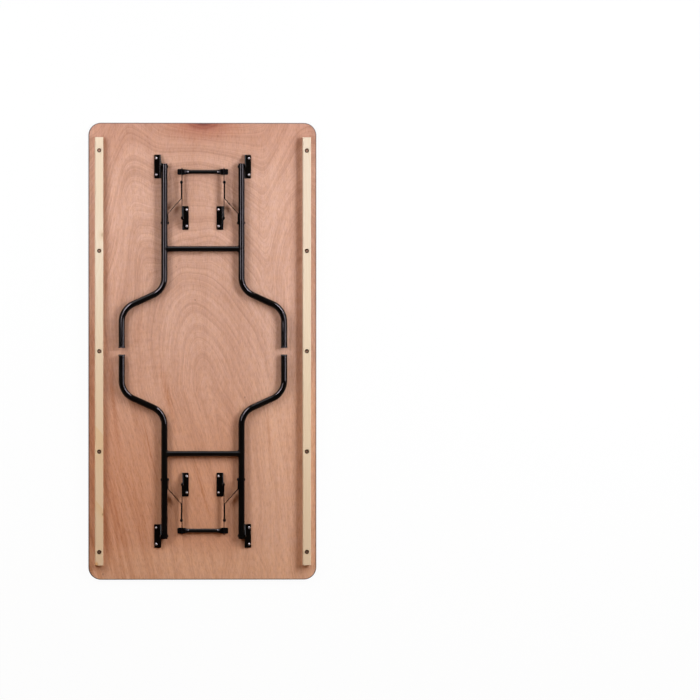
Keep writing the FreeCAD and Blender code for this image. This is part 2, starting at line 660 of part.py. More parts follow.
def upper_stay():
    """Flat bar from the stay bracket past the knee to the lock bar."""
    start_y = STAY_PIVOT_Y - UPPER_STAY_WIDTH / 2
    outline = rounded_outline(
        UPPER_STAY_TIP_Y - start_y, UPPER_STAY_WIDTH, UPPER_STAY_WIDTH / 2, UPPER_STAY_TIP_RADIUS
    )
    outline.translate(Vector(UPPER_STAY_X, start_y, PIVOT_Z))
    bar = Part.Face(outline).extrude(ACROSS * STAY_THICKNESS)
    pivot_hole = rod(
        RIVET_DIAMETER / 2 + PIN_RUNNING_CLEARANCE,
        Vector(UPPER_STAY_X, STAY_PIVOT_Y, PIVOT_Z),
        ACROSS,
        STAY_THICKNESS,
    )
    knee_hole = rod(
        RIVET_DIAMETER / 2 + PIN_FIT, Vector(UPPER_STAY_X, KNEE_Y, PIVOT_Z), ACROSS, STAY_THICKNESS
    )
    return bar.cut([pivot_hole, knee_hole])


def lower_stay():
    """Flat bar from the knee, joggled outwards to lie beside the leg tube."""
    knee_x = LOWER_STAY_X + STAY_THICKNESS / 2
    end_x = LOWER_STAY_END_X + STAY_THICKNESS / 2
    joggle_end_y = LEG_RIVET_Y + LOWER_STAY_END_STRAIGHT
    joggle_run = (end_x - knee_x) / math.tan(math.radians(LOWER_STAY_JOGGLE_ANGLE))
    start = Vector(knee_x, KNEE_Y + LOWER_STAY_HALF_WIDTH, PIVOT_Z)
    corners = [
        start,
        Vector(knee_x, joggle_end_y + joggle_run, PIVOT_Z),
        Vector(end_x, joggle_end_y, PIVOT_Z),
        Vector(end_x, LEG_RIVET_Y - LOWER_STAY_HALF_WIDTH, PIVOT_Z),
    ]
    half_thickness = STAY_THICKNESS / 2
    section = polygon(
        [
            start + Vector(-half_thickness, 0, -LOWER_STAY_HALF_WIDTH),
            start + Vector(half_thickness, 0, -LOWER_STAY_HALF_WIDTH),
            start + Vector(half_thickness, 0, LOWER_STAY_HALF_WIDTH),
            start + Vector(-half_thickness, 0, LOWER_STAY_HALF_WIDTH),
        ]
    )
    strip = swept(bent_path(corners, LOWER_STAY_BEND_RADIUS), section)
    outline = rounded_outline(
        LOWER_LINK + 2 * LOWER_STAY_HALF_WIDTH,
        2 * LOWER_STAY_HALF_WIDTH,
        LOWER_STAY_HALF_WIDTH,
        LOWER_STAY_HALF_WIDTH,
    )
    outline.translate(Vector(0, LEG_RIVET_Y - LOWER_STAY_HALF_WIDTH, PIVOT_Z))
    bar = strip.common(Part.Face(outline).extrude(ACROSS * LEG_X))
    knee_hole = rod(
        RIVET_DIAMETER / 2 + PIN_RUNNING_CLEARANCE,
        Vector(LOWER_STAY_X, KNEE_Y, PIVOT_Z),
        ACROSS,
        STAY_THICKNESS,
    )
    end_hole = rod(
        RIVET_DIAMETER / 2 + PIN_FIT, Vector(LOWER_STAY_END_X, LEG_RIVET_Y, PIVOT_Z), ACROSS, STAY_THICKNESS
    )
    return bar.cut([knee_hole, end_hole])


def round_section(x):
    """The lock bar's circle in six arcs, matched to the flattened section's edges."""
    radius = LOCK_BAR_DIAMETER / 2
    side = PADDLE_SIDE_ANGLE
    stops = [side, 180.0 - side, 180.0, 180.0 + side, FULL_TURN - side, FULL_TURN, FULL_TURN + side]

    def at(degrees):
        angle = math.radians(degrees)
        return Vector(x, radius * math.cos(angle), radius * math.sin(angle))

    return Part.Wire([arc(at(start), at((start + end) / 2), at(end)) for start, end in zip(stops, stops[1:])])


def flat_section(x):
    """The flattened tube: two long sides and two rounded edges, each edge in two arcs."""
    radius = PADDLE_THICKNESS / 2
    centre_y = PADDLE_WIDTH / 2 - radius
    slant = radius * math.sqrt(2) / 2

    def edge_points(sign):
        """Points round one edge, from its upper end to its lower end."""
        offsets = [(0, radius), (slant, slant), (radius, 0), (slant, -slant), (0, -radius)]
        return [Vector(x, sign * (centre_y + out), height) for out, height in offsets]

    near = edge_points(1)
    far = edge_points(-1)
    return Part.Wire(
        [
            Part.makeLine(near[0], far[0]),
            arc(far[0], far[1], far[2]),
            arc(far[2], far[3], far[4]),
            Part.makeLine(far[4], near[4]),
            arc(near[4], near[3], near[2]),
            arc(near[2], near[1], near[0]),
        ]
    )


def lock_bar():
    """Round bar between the stays at end a, pressed flat under them and at both ends."""
    middle = rod(LOCK_BAR_DIAMETER / 2, ACROSS * -ROUND_END_X, ACROSS, 2 * ROUND_END_X)
    shoulder = Part.makeLoft([round_section(ROUND_END_X), flat_section(PADDLE_START_X)], True, True)
    paddle_length = LOCK_BAR_END_X - PADDLE_START_X
    paddle = Part.Face(flat_section(PADDLE_START_X)).extrude(ACROSS * paddle_length)
    plan = Part.makeBox(
        paddle_length + PADDLE_CORNER_RADIUS,
        PADDLE_WIDTH,
        PADDLE_THICKNESS,
        Vector(PADDLE_START_X - PADDLE_CORNER_RADIUS, -PADDLE_WIDTH / 2, -PADDLE_THICKNESS / 2),
    )
    tip_edges = [
        edge
        for edge in plan.Edges
        if edge.Vertexes[0].Z != edge.Vertexes[1].Z and edge.Vertexes[0].X > PADDLE_START_X
    ]
    paddle = paddle.common(plan.makeFillet(PADDLE_CORNER_RADIUS, tip_edges))
    half = [shoulder, paddle]
    other_half = [piece.mirror(Vector(), ACROSS) for piece in half]
    bar = middle.fuse(half + other_half).removeSplitter()
    return bar.translated(Vector(0, LOCK_BAR_Y, LOCK_BAR_Z))


def all_parts():
    """Every sub-part of the table by name."""
    parts = {
        "table_top": table_top(),
        "edge_band": edge_band(),
        "batten_bolts": Part.makeCompound(at_battens(batten_bolt())),
        "batten_washers": Part.makeCompound(at_battens(batten_washer())),
        "batten_nuts": Part.makeCompound(at_battens(batten_nut())),
        "bracket_bolts": Part.makeCompound(at_brackets(bracket_bolt())),
        "bracket_cap_nuts": Part.makeCompound(at_brackets(cap_nut())),
        "hinge_pins": Part.makeCompound(on_all_corners(hinge_pin())),
        "stay_bracket_rivets": Part.makeCompound(on_all_corners(stay_bracket_rivet())),
    }
    for side_name, side in SIDES.items():
        parts[f"batten_{side_name}"] = mirrored(batten(), side, 1)

    per_end = {"crossbar": crossbar(), "lock_bar": lock_bar()}
    per_pair = {"leg_stay_rivets": leg_stay_rivet(), "knee_rivets": knee_rivet()}
    per_leg = {
        "hinge_bracket": hinge_bracket(),
        "stay_bracket": stay_bracket(),
        "leg_tube": leg_tube(),
        "foot": foot(),
        "upper_stay": upper_stay(),
        "lower_stay": lower_stay(),
        "stay_end_rivet": stay_end_rivet(),
    }
    for end_name, end in ENDS.items():
        for name, shape in per_end.items():
            parts[f"{name}_{end_name}"] = mirrored(shape, 1, end)
        for name, shape in per_pair.items():
            parts[f"{name}_{end_name}"] = Part.makeCompound(on_both_sides(shape, end))
        for name, shape in per_leg.items():
            for side_name, side in SIDES.items():
                parts[f"{name}_{side_name}_{end_name}"] = mirrored(shape, side, end)
    return parts


os.makedirs("parts", exist_ok=True)
for part_name, part_shape in all_parts().items():
    part_shape.exportStep(f"parts/{part_name}.step")
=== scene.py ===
import json
import math

import bmesh
import bpy
from mathutils import Matrix, Vector


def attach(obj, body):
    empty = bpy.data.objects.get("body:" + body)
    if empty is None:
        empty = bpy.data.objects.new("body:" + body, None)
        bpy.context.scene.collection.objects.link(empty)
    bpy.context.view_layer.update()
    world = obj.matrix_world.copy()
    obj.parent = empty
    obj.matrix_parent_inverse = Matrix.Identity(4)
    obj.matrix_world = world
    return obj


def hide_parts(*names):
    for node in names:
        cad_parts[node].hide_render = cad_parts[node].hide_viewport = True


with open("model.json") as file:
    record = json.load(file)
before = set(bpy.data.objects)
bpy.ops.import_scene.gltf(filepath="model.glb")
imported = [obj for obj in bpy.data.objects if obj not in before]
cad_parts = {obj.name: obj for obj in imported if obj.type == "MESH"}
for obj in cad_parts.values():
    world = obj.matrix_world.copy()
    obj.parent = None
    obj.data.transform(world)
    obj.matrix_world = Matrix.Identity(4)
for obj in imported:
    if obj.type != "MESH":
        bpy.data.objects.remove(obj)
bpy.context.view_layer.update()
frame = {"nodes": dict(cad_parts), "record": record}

# Folding trestle table lying on its working face, seen from above with the leg frames folded.
# Lengths are metres in the part's own frame, and colours are linear.
MM = 0.001

# Places that the part's own sizes give
UNDERSIDE = 18 * MM
BATTEN_X = 417 * MM
BATTEN_TOP = 54 * MM
BATTEN_BOLT_PITCH = 402 * MM
COUNTERBORE_FLOOR = 41 * MM
BRACKET_SEAT = 21 * MM
BRACKET_BOLT_HALF_PITCH = 33 * MM
HINGE_BOLT_X = 186.6 * MM
HINGE_Y = 740 * MM
STAY_BOLT_X = 64 * MM
STAY_Y = 534 * MM
LEG_X = 155 * MM
LEG_AXIS_Z = 37.97 * MM
LEG_TUBE_RADIUS = 12.7 * MM
CROSSBAR_Y = 410 * MM
CROSSBAR_RADIUS = 11 * MM
LOCK_BAR_Y = 718.5 * MM
ENDS = {"a": 1, "b": -1}


class Field:
    """A value that a node gives, with arithmetic that adds more nodes."""

    def __init__(self, nodes, socket):
        self.nodes = nodes
        self.socket = socket

    def __add__(self, other):
        return self.nodes.math("ADD", self, other)

    def __sub__(self, other):
        return self.nodes.math("SUBTRACT", self, other)

    def __rsub__(self, other):
        return self.nodes.math("SUBTRACT", other, self)

    def __mul__(self, other):
        return self.nodes.math("MULTIPLY", self, other)

    def __truediv__(self, other):
        return self.nodes.math("DIVIDE", self, other)

    __radd__ = __add__


class Nodes:
    """A node tree that the script fills."""

    def __init__(self, tree):
        self.tree = tree

    def put(self, socket, value):
        if isinstance(value, Field):
            self.tree.links.new(value.socket, socket)
        elif isinstance(value, bpy.types.NodeSocket):
            self.tree.links.new(value, socket)
        else:
            socket.default_value = value

    def add(self, kind, inputs=None, **settings):
        node = self.tree.nodes.new(kind)
        for name, value in settings.items():
            setattr(node, name, value)
        for key, value in (inputs or {}).items():
            self.put(node.inputs[key], value)
        return node

    def math(self, operation, *values):
        node = self.add("ShaderNodeMath", operation=operation)
        for socket, value in zip(node.inputs, values):
            self.put(socket, value)
        return Field(self, node.outputs[0])

    def root(self, value):
        return self.math("SQRT", value)

    def size_of(self, value):
        return self.math("ABSOLUTE", value)

    def away(self, across, along):
        """How far a place lies from a point that is so far across and along."""
        return self.root(across * across + along * along)

    def vector(self, x=0.0, y=0.0, z=0.0):
        return self.add("ShaderNodeCombineXYZ", {0: x, 1: y, 2: z}).outputs[0]

    def smooth(self, value, low, high):
        """0 at low and 1 at high, with an eased step between them."""
        node = self.add(
            "ShaderNodeMapRange",
            {"Value": value, "From Min": low, "From Max": high},
            interpolation_type="SMOOTHSTEP",
        )
        return Field(self, node.outputs["Result"])

    def hump(self, value, centre, width):
        """1 at the centre, falling off to both sides like a bell."""
        offset = (value - centre) / width
        return self.math("EXPONENT", offset * offset * -1.0)


class Finish(Nodes):
    """A surface finish that is read from the piece's own coordinates."""

    def __init__(self, name):
        self.material = bpy.data.materials.new(name)
        self.material.use_nodes = True
        super().__init__(self.material.node_tree)
        self.shader = self.tree.nodes["Principled BSDF"]
        self.place = self.add("ShaderNodeTexCoord").outputs["Object"]
        split = self.add("ShaderNodeSeparateXYZ", {0: self.place})
        self.x, self.y, self.z = (Field(self, out) for out in split.outputs)

    def noise(self, scale, detail, roughness, stretch=(1, 1, 1), shift=(0, 0, 0), place=None):
        mapped = self.add(
            "ShaderNodeMapping",
            {"Vector": place or self.place, "Location": shift, "Scale": stretch},
        )
        node = self.add(
            "ShaderNodeTexNoise",
            {"Vector": mapped.outputs[0], "Scale": scale, "Detail": detail, "Roughness": roughness},
        )
        return Field(self, node.outputs[0])

    def noise_of(self, value, scale, detail):
        """Noise along one line, such as from ring to ring."""
        node = self.add(
            "ShaderNodeTexNoise",
            {"W": value, "Scale": scale, "Detail": detail},
            noise_dimensions="1D",
        )
        return Field(self, node.outputs[0])

    def ramp(self, value, stops):
        node = self.add("ShaderNodeValToRGB", {0: value})
        points = node.color_ramp.elements
        while len(points) < len(stops):
            points.new(1.0)
        for point, (position, shade) in zip(points, stops):
            point.position = position
            point.color = (*shade, 1.0) if isinstance(shade, tuple) else (shade, shade, shade, 1.0)
        return Field(self, node.outputs[0])

    def mix(self, factor, first, second, blend="MIX"):
        node = self.add("ShaderNodeMix", data_type="RGBA", blend_type=blend)
        self.put(node.inputs[0], factor)
        for socket, shade in ((node.inputs[6], first), (node.inputs[7], second)):
            self.put(socket, (*shade, 1.0) if isinstance(shade, tuple) else shade)
        return Field(self, node.outputs[2])

    def painted(self, tone, layers, blend="MIX"):
        """The tone with each layer's colour laid over it by the layer's own mask."""
        for mask, shade in layers:
            tone = self.mix(mask, tone, shade, blend)
        return tone

    def between(self, factor, low, high):
        return factor * (high - low) + low

    def bump(self, height, distance, strength):
        node = self.add(
            "ShaderNodeBump", {"Height": height, "Distance": distance, "Strength": strength}
        )
        self.put(self.shader.inputs["Normal"], node.outputs[0])

    def surface(self, **sockets):
        for name, value in sockets.items():
            self.put(self.shader.inputs[name.replace("_", " ")], value)
        return self.material


# Veneer figure: arches climb from a heart near the middle, and lower ones from both shoulders.
# Each row: heart across and along, lean, start, climb, slope to the left and right, roundness
# at the heart, how much rounder the arches get and how much flatter.
ARCHES = (
    (0.016, -0.10, 0.150, 0.00, 1.0, 2.2, 1.8, 0.05, 0.33, 1.1),
    (-0.218, 0.34, 0.185, 0.45, 0.9, 3.0, 1.3, 0.15, 0.0, 0.0),
    (0.400, 0.45, 0.000, 0.43, 0.9, 2.4, 1.5, 0.15, 0.0, 0.0),
)
# How far above a heart its arches go on leaning, how gently they start to climb, and how softly
# two nests of arches meet
LEAN_REACH = 0.40
HEART_EASE = 0.02
ARCH_JOIN = 0.09
# Rings for each metre up the arches, and the darkness across one ring
VENEER_RINGS = 36.0
VENEER_RING_LINE = ((0.0, 0.6), (0.06, 1.0), (0.45, 0.75), (0.80, 0.15), (0.94, 0.0), (1.0, 0.6))
# Faint eye in the grain near end b, and how far it is drawn out along the grain
EYE = (0.140, -0.800)
EYE_DRAW = 0.8
# Burl that the top edge cuts through: its middle, how far it is drawn out across, and its colour
# as a share of the wood's own with the distance in decimetres
BURL = (0.004, 0.922)
BURL_DRAW = 0.5
BURL_STAIN = (
    (0.10, (0.30, 0.11, 0.10)),
    (0.17, (0.44, 0.22, 0.19)),
    (0.24, (0.66, 0.40, 0.34)),
    (0.28, (0.60, 0.34, 0.29)),
    (0.36, (0.79, 0.58, 0.53)),
    (0.50, (0.87, 0.71, 0.64)),
    (0.75, (0.96, 0.89, 0.85)),
    (1.00, (1.00, 1.00, 1.00)),
)
# Pin knots: across, along, size and strength, and how far they are drawn out along the grain
PIN_KNOTS = (
    (-0.030, 0.205, 2.2 * MM, 0.60),
    (0.062, 0.862, 3.0 * MM, 0.35),
    (-0.105, 0.338, 2.0 * MM, 0.45),
    (0.170, -0.185, 2.4 * MM, 0.60),
    (-0.400, -0.893, 2.2 * MM, 0.60),
)
PIN_KNOT_DRAW = 0.55
# Reddish mineral streaks, and painted shade in the battens' shadows (rows at -0.386, 0.388 and
# -0.446, the last partly a streak): across and along at the middle, half length, lean, half width,
# strength
RED_STREAKS_AND_PAINTED_SHADE = (
    (-0.215, -0.380, 0.150, 0.24, 2.5 * MM, 0.85),
    (-0.140, -0.180, 0.120, 0.22, 14 * MM, 0.75),
    (0.000, -0.560, 0.110, 0.26, 5 * MM, 0.70),
    (-0.335, -0.700, 0.120, 0.22, 6 * MM, 0.40),
    (-0.365, -0.150, 0.200, 0.12, 9 * MM, 0.80),
    (0.265, -0.330, 0.090, 0.05, 5 * MM, 0.70),
    (-0.250, 0.085, 0.055, 0.00, 26 * MM, 0.35),
    # painted shade beside the left batten, then beside the right batten
    (-0.386, 0.300, 0.130, 0.00, 13 * MM, 0.50),
    (0.388, 0.250, 0.700, 0.00, 11 * MM, 0.45),
    # painted shade in the outer strip beyond the left batten, partly a real streak
    (-0.446, -0.075, 0.330, 0.00, 22 * MM, 0.68),
)
# The working face's sheet: how far its figure sits to one side, and its warmer colour
NEXT_SHEET_SHIFT = 0.032
NEXT_SHEET_TINT = (0.93, 0.84, 0.73)
# Noise over the sheet, up its arches and along its grain.
# Each row: scale, detail, roughness, stretch, shift.
SHEET_NOISE = {
    "broad": (3.1, 2.0, 0.45, (1.0, 0.6, 0.0), (0.4, 0.0, 0.0)),
    "ripple": (15.0, 3.0, 0.6, (1.0, 0.35, 0.0), (3.1, 1.7, 0.0)),
    "fray": (140.0, 2.0, 0.6, (1.0, 0.12, 0.0), (0.0, 1.7, 0.0)),
}
CURL_NOISE = (70.0, 2.0, 0.5, (0.22, 1.0, 0.0), (0.0, 2.0, 0.0))
ARCH_NOISE = {
    "bands": (13.0, 3.0, 0.6, (1.0, 1.0, 1.0), (0.0, 0.0, 0.0)),
    "rings": (62.0, 2.0, 0.6, (1.0, 0.5, 1.0), (0.0, 0.0, 0.0)),
    "hair": (210.0, 2.0, 0.65, (1.0, 0.35, 1.0), (3.0, 0.0, 0.0)),
}
GRAIN_NOISE = {
    "blotch": (5.0, 3.0, 0.55, (1.0, 0.28, 0.0), (0.0, 4.0, 0.0)),
    "streak": (46.0, 3.0, 0.6, (1.0, 0.045, 0.0), (2.0, 0.0, 0.0)),
    "fleck": (230.0, 3.0, 0.65, (1.0, 0.16, 0.0), (0.0, 0.6, 0.0)),
    "fibre": (560.0, 2.0, 0.6, (1.0, 0.08, 0.0), (0.0, 0.0, 0.0)),
    "pore": (1500.0, 1.0, 0.5, (1.0, 0.05, 0.0), (0.3, 0.0, 0.0)),
    "mottle": (60.0, 3.0, 0.6, (1.0, 0.6, 0.0), (7.0, 0.0, 0.0)),
}
# Ground colours of the veneer, and the places where it differs: the paler lower right is partly
# painted light, the paler end b is painted light and the darker top edge is painted shade
VENEER_PALE = (0.690, 0.405, 0.300)
VENEER_BROWN = (0.620, 0.345, 0.242)
VENEER_WARM_END = (0.660, 0.315, 0.180)
VENEER_PALE_AND_LIT_RIGHT = (0.755, 0.425, 0.280)
VENEER_END_B_PAINTED_LIGHT = (0.760, 0.420, 0.265)
VENEER_TOP_EDGE_PAINTED_SHADE = (0.560, 0.275, 0.180)
VENEER_RIM_PAINTED_LIGHT = (0.860, 0.500, 0.330)
PIN_KNOT_BROWN = (0.160, 0.055, 0.028)
# Stains as shares of the wood's own colour: darker grain, redder streaks and mottling; the darker
# and redder shares also carry painted shade
DARK_GRAIN_AND_SHADE = (0.66, 0.55, 0.46)
RED_GRAIN_AND_SHADE = (0.80, 0.62, 0.46)
COOL_CAST = (0.990, 1.005, 1.050)
WARM_CAST = (1.010, 0.995, 0.950)
# The rim of the sheet beyond the right batten, lying in its shadow: painted shade over the upper
# part and painted light over the lower part
RIM_START, RIM_FULL = 0.422, 0.434


def arch(f, x, y, row):
    """How far up the nest of arches a place lies."""
    heart_x, heart_y, lean, start, climb, left, right, roundness, rounding, flattening = row
    along = y - heart_y
    across = x - heart_x + f.math("MINIMUM", along, LEAN_REACH) * lean
    rise = (along + f.root(along * along + HEART_EASE)) * (climb / 2)
    spread = across * ((right - left) / 2) + f.size_of(across) * ((right + left) / 2)
    spread = spread / (rise * flattening + 1.0)
    curve = rise * rounding + roundness
    return rise + f.away(spread, curve) - curve + start


def plywood_veneer():
    f = Finish("plywood_veneer")
    # The working face has the next sheet of the same log, laid the other way round.
    under = f.smooth(f.z, UNDERSIDE / 2 - 1 * MM, UNDERSIDE / 2 + 1 * MM)
    x = f.x * (under * 2.0 - 1.0) + (1.0 - under) * NEXT_SHEET_SHIFT
    y = f.y
    sheet = f.vector(x, y)
    broad, ripple, fray = (f.noise(*row, sheet) - 0.5 for row in SHEET_NOISE.values())
    # Towards end b the grain leans, most of all on the left.
    leaning = x + f.math("MINIMUM", y + 0.16, 0.0) * f.smooth(x, 0.32, 0.02) * 0.20
    grain_place = f.vector(leaning, y)

    climb = arch(f, leaning, y, ARCHES[0])
    for row in ARCHES[1:]:
        climb = f.math("SMOOTH_MIN", climb, arch(f, x, y, row), ARCH_JOIN)
    from_burl = f.away((x - BURL[0]) * BURL_DRAW, y - BURL[1])
    from_eye = f.away(x - EYE[0], (y - EYE[1]) * EYE_DRAW)
    climb = climb + f.hump(from_burl, 0.0, 0.11) * 0.20 + f.hump(from_eye, 0.0, 0.10) * 0.20
    climb = climb + broad * 0.14 + ripple * 0.014 + fray * 0.005
    arch_place = f.vector(climb, y * 0.10)
    bands, rings, hair = (f.noise(*row, arch_place) for row in ARCH_NOISE.values())
    line = f.ramp(f.math("FRACT", climb * VENEER_RINGS + rings * 0.9), VENEER_RING_LINE)
    line = line * f.smooth(bands + fray * 0.5, 0.25, 0.62)

    blotch, streak, fleck, fibre, pore, mottle = (
        f.noise(*row, grain_place) for row in GRAIN_NOISE.values()
    )
    pores = f.smooth(pore, 0.60, 0.72)
    curl = f.noise(*CURL_NOISE, sheet)
    curly = f.hump(x, -0.27, 0.15) * f.hump(y, 0.02, 0.22)
    low = f.smooth(y, 0.25, -0.45)
    plain = f.smooth(x, 0.16, 0.28)
    red_side = f.smooth(x + y * 0.1, -0.14, -0.44) * f.smooth(streak, 0.36, 0.70)
    warm_end = f.smooth(y + broad * 0.2, 0.20, -0.60) * f.smooth(x, 0.34, 0.06)
    # painted light on the lower right (partly the wood's own paler colour) and at end b, painted
    # shade along the top edge
    pale_and_lit_right = f.smooth(y, 0.05, -0.35) * f.smooth(x, 0.10, 0.30)
    end_b_painted_light = f.smooth(y + broad * 0.10, -0.74, -0.86)
    top_edge_painted_shade = f.smooth(y + broad * 0.12, 0.70, 0.93)
    rim = f.smooth(x, RIM_START, RIM_FULL) * under
    # painted shade on the upper rim, painted light on the lower rim
    rim_painted_shade = rim * f.smooth(y, -0.15, 0.30)
    rim_painted_light = rim * f.smooth(y, 0.0, -0.30)
    # A darker patch in the upper middle, between the stays.
    darker_upper_middle = f.hump(x, 0.0, 0.15) * f.hump(y, 0.64, 0.17)

    tone = f.mix(f.smooth(blotch, 0.30, 0.72), VENEER_PALE, VENEER_BROWN)
    # The lower right and end b get painted light, and the top edge painted shade.
    tone = f.painted(
        tone,
        (
            (warm_end * 0.90, VENEER_WARM_END),
            (pale_and_lit_right * 0.75, VENEER_PALE_AND_LIT_RIGHT),
            (end_b_painted_light * 0.75, VENEER_END_B_PAINTED_LIGHT),
            (top_edge_painted_shade * 0.70, VENEER_TOP_EDGE_PAINTED_SHADE),
        ),
    )
    # painted shade on the rim beyond the right batten, then painted light on the lower rim
    tone = f.mix(rim_painted_shade * 0.30 + darker_upper_middle * 0.26, tone, DARK_GRAIN_AND_SHADE, "MULTIPLY")
    tone = f.mix(rim_painted_light * 0.50, tone, VENEER_RIM_PAINTED_LIGHT)
    cast = f.mix(f.smooth(mottle, 0.30, 0.70), COOL_CAST, WARM_CAST)
    stains_and_painted_shade = [(1.0, cast), (red_side * (low * 0.30 + 0.25), RED_GRAIN_AND_SHADE)]
    for mask, strength in (
        (f.smooth(bands, 0.40, 0.66), low * -0.08 + 0.22),
        (line, (low * -0.12 + 0.26) * (1.0 - plain * 0.4)),
        (f.smooth(curl, 0.42, 0.66), curly * 0.20),
        (f.smooth(rings, 0.48, 0.66), low * -0.07 + 0.23),
        (f.smooth(hair, 0.46, 0.66), low * -0.07 + 0.27),
        (f.smooth(streak, 0.42, 0.66), low * 0.06 + 0.14),
        (f.smooth(fleck, 0.46, 0.68), low * 0.06 + 0.36),
        (f.smooth(fibre, 0.40, 0.72), low * 0.05 + 0.15),
        (pores, 0.60),
    ):
        stains_and_painted_shade.append((mask * strength, DARK_GRAIN_AND_SHADE))
    # Streaks, and for three rows painted shade beside the battens
    for mid_x, mid_y, half, lean, width, strength in RED_STREAKS_AND_PAINTED_SHADE:
        off = x - mid_x + (y - mid_y) * lean + ripple * 0.012
        mark = f.hump(off, 0.0, width) * f.hump(y, mid_y, half) * f.smooth(fleck, 0.20, 0.55)
        stains_and_painted_shade.append((mark * strength, RED_GRAIN_AND_SHADE))
    stains_and_painted_shade.append((1.0, f.ramp((from_burl + ripple * 0.006) * 10.0, BURL_STAIN)))
    tone = f.painted(tone, stains_and_painted_shade, "MULTIPLY")
    for knot_x, knot_y, size, strength in PIN_KNOTS:
        from_knot = f.away(x - knot_x, (y - knot_y) * PIN_KNOT_DRAW)
        knot = f.smooth(from_knot, size * 1.5, size * 0.5)
        tone = f.mix(knot * strength, tone, PIN_KNOT_BROWN)
    tone = f.mix(1.0 - under, tone, NEXT_SHEET_TINT, "MULTIPLY")

    rough = f.between(f.smooth(blotch, 0.3, 0.7), 0.46, 0.54) + fibre * 0.06
    f.bump(fibre * 0.35 + line * -0.5 + pores * -0.8, 0.12 * MM, 0.55)
    return f.surface(Base_Color=tone, Roughness=rough, Specular_IOR_Level=0.29)


# Growth rings of the battens lie round a pith outside the wood: its place from the batten's
# middle, the rings for each metre, and the darkness across one ring
PITH = (24 * MM, -52 * MM)
BATTEN_RINGS = 290.0
BATTEN_RING_LINE = ((0.0, 0.0), (0.35, 0.12), (0.78, 0.65), (0.90, 1.0), (1.0, 0.0))
# The right batten is cut further along the same log
BATTEN_LOG_STEP = 2.3
# Knots: across, along, size and strength, and how far they are drawn out along the grain
BATTEN_KNOTS = (
    (-0.405, 0.466, 6.0 * MM, 0.28),
    (-0.403, -0.653, 3.5 * MM, 0.60),
)
BATTEN_KNOT_DRAW = 0.62
# Slanting edges of darker wood across the left batten: height at its middle, length, strength
HEARTWOOD = ((-0.317, 0.24, 0.55), (-0.614, 0.07, 0.60))
HEARTWOOD_SLANT = -1.25
# Chip at the left batten's end, and how far it is drawn out along the grain
CHIPPED_END = (-0.429, -0.856)
CHIP_DRAW = 0.6
PINE_PALE = (0.790, 0.650, 0.500)
PINE_CREAM = (0.755, 0.605, 0.445)
# Painted shade: the right batten's upper part, and both battens towards end b, the left one more
PINE_TOP_PAINTED_SHADE = (0.690, 0.565, 0.440)
PINE_END_B_PAINTED_SHADE = (0.750, 0.555, 0.360)
PINE_LEFT_END_B_PAINTED_SHADE = (0.715, 0.475, 0.285)
PINE_HEARTWOOD = (0.700, 0.440, 0.220)
PINE_LATE_WOOD = (0.660, 0.455, 0.270)
PINE_FIBRE = (0.640, 0.450, 0.280)
PINE_ROUND_KNOT = (0.640, 0.380, 0.180)
PINE_KNOT = (0.230, 0.095, 0.035)
PINE_CHIP = (0.640, 0.300, 0.100)


def pine_batten():
    f = Finish("pine_batten")
    side = f.math("SIGN", f.x)
    left = f.smooth(side, 0.5, -0.5)
    across = f.size_of(f.x) - BATTEN_X
    upward = f.z - (UNDERSIDE + BATTEN_TOP) / 2
    along = f.y + side * BATTEN_LOG_STEP
    wander = f.noise_of(along, 1.7, 2.0) - 0.5
    sway = f.noise_of(along + 9.0, 1.1, 2.0) - 0.5
    grain = f.noise(30.0, 3.0, 0.6, (1.0, 0.03, 1.0)) - 0.5
    fibre = f.noise(700.0, 2.0, 0.6, (1.0, 0.03, 1.0))
    patch = f.noise(7.0, 2.0, 0.5, (1.0, 0.3, 1.0))
    reach = f.away(across - PITH[0] + sway * 0.030, upward - PITH[1] + wander * 0.034)
    reach = reach + grain * 0.0025
    knots = swell = 0.0
    for knot_x, knot_y, size, strength in BATTEN_KNOTS:
        from_knot = f.away(f.x - knot_x, (f.y - knot_y) * BATTEN_KNOT_DRAW)
        knots = knots + f.smooth(from_knot, size * 1.25, size * 0.35) * strength
        swell = swell + f.hump(from_knot, 0.0, size * 2.6)
    ring = (reach + swell * 0.006) * BATTEN_RINGS
    late = f.ramp(f.math("FRACT", ring), BATTEN_RING_LINE)
    ring_strength = f.smooth(f.noise_of(ring, 0.4, 1.0), 0.3, 0.7) * 0.7 + 0.3
    from_chip = f.away(f.x - CHIPPED_END[0], (f.y - CHIPPED_END[1]) * CHIP_DRAW)
    chip = f.smooth(from_chip + grain * 0.006, 11 * MM, 3 * MM)

    # painted shade standing in for the lamps' fall-off along the battens
    layers = [
        (f.smooth(f.y, 0.10, 0.70) * (1.0 - left) * 0.60, PINE_TOP_PAINTED_SHADE),
        (f.smooth(f.y, 0.50, -0.80) * 0.75, PINE_END_B_PAINTED_SHADE),
        (f.smooth(f.y, 0.35, -0.60) * left * 0.60, PINE_LEFT_END_B_PAINTED_SHADE),
    ]
    for mid, length, strength in HEARTWOOD:
        below = f.y - mid - (f.x + BATTEN_X) * HEARTWOOD_SLANT
        mask = f.smooth(below, 3 * MM, -3 * MM) * f.smooth(below, -length, 0.0) * left
        layers.append((mask * strength, PINE_HEARTWOOD))
    layers += [
        (late * ring_strength * 0.40, PINE_LATE_WOOD),
        (f.smooth(fibre, 0.4, 0.8) * 0.16, PINE_FIBRE),
        (f.smooth(swell, 0.15, 1.0) * 0.35, PINE_ROUND_KNOT),
        (knots, PINE_KNOT),
        (chip * 0.75, PINE_CHIP),
    ]
    tone = f.painted(f.mix(f.smooth(patch, 0.3, 0.7), PINE_PALE, PINE_CREAM), layers)
    rough = f.between(f.smooth(fibre, 0.3, 0.7), 0.58, 0.70)
    f.bump(late * 0.5 + fibre * 0.6, 0.12 * MM, 0.5)
    return f.surface(Base_Color=tone, Roughness=rough, Specular_IOR_Level=0.20)


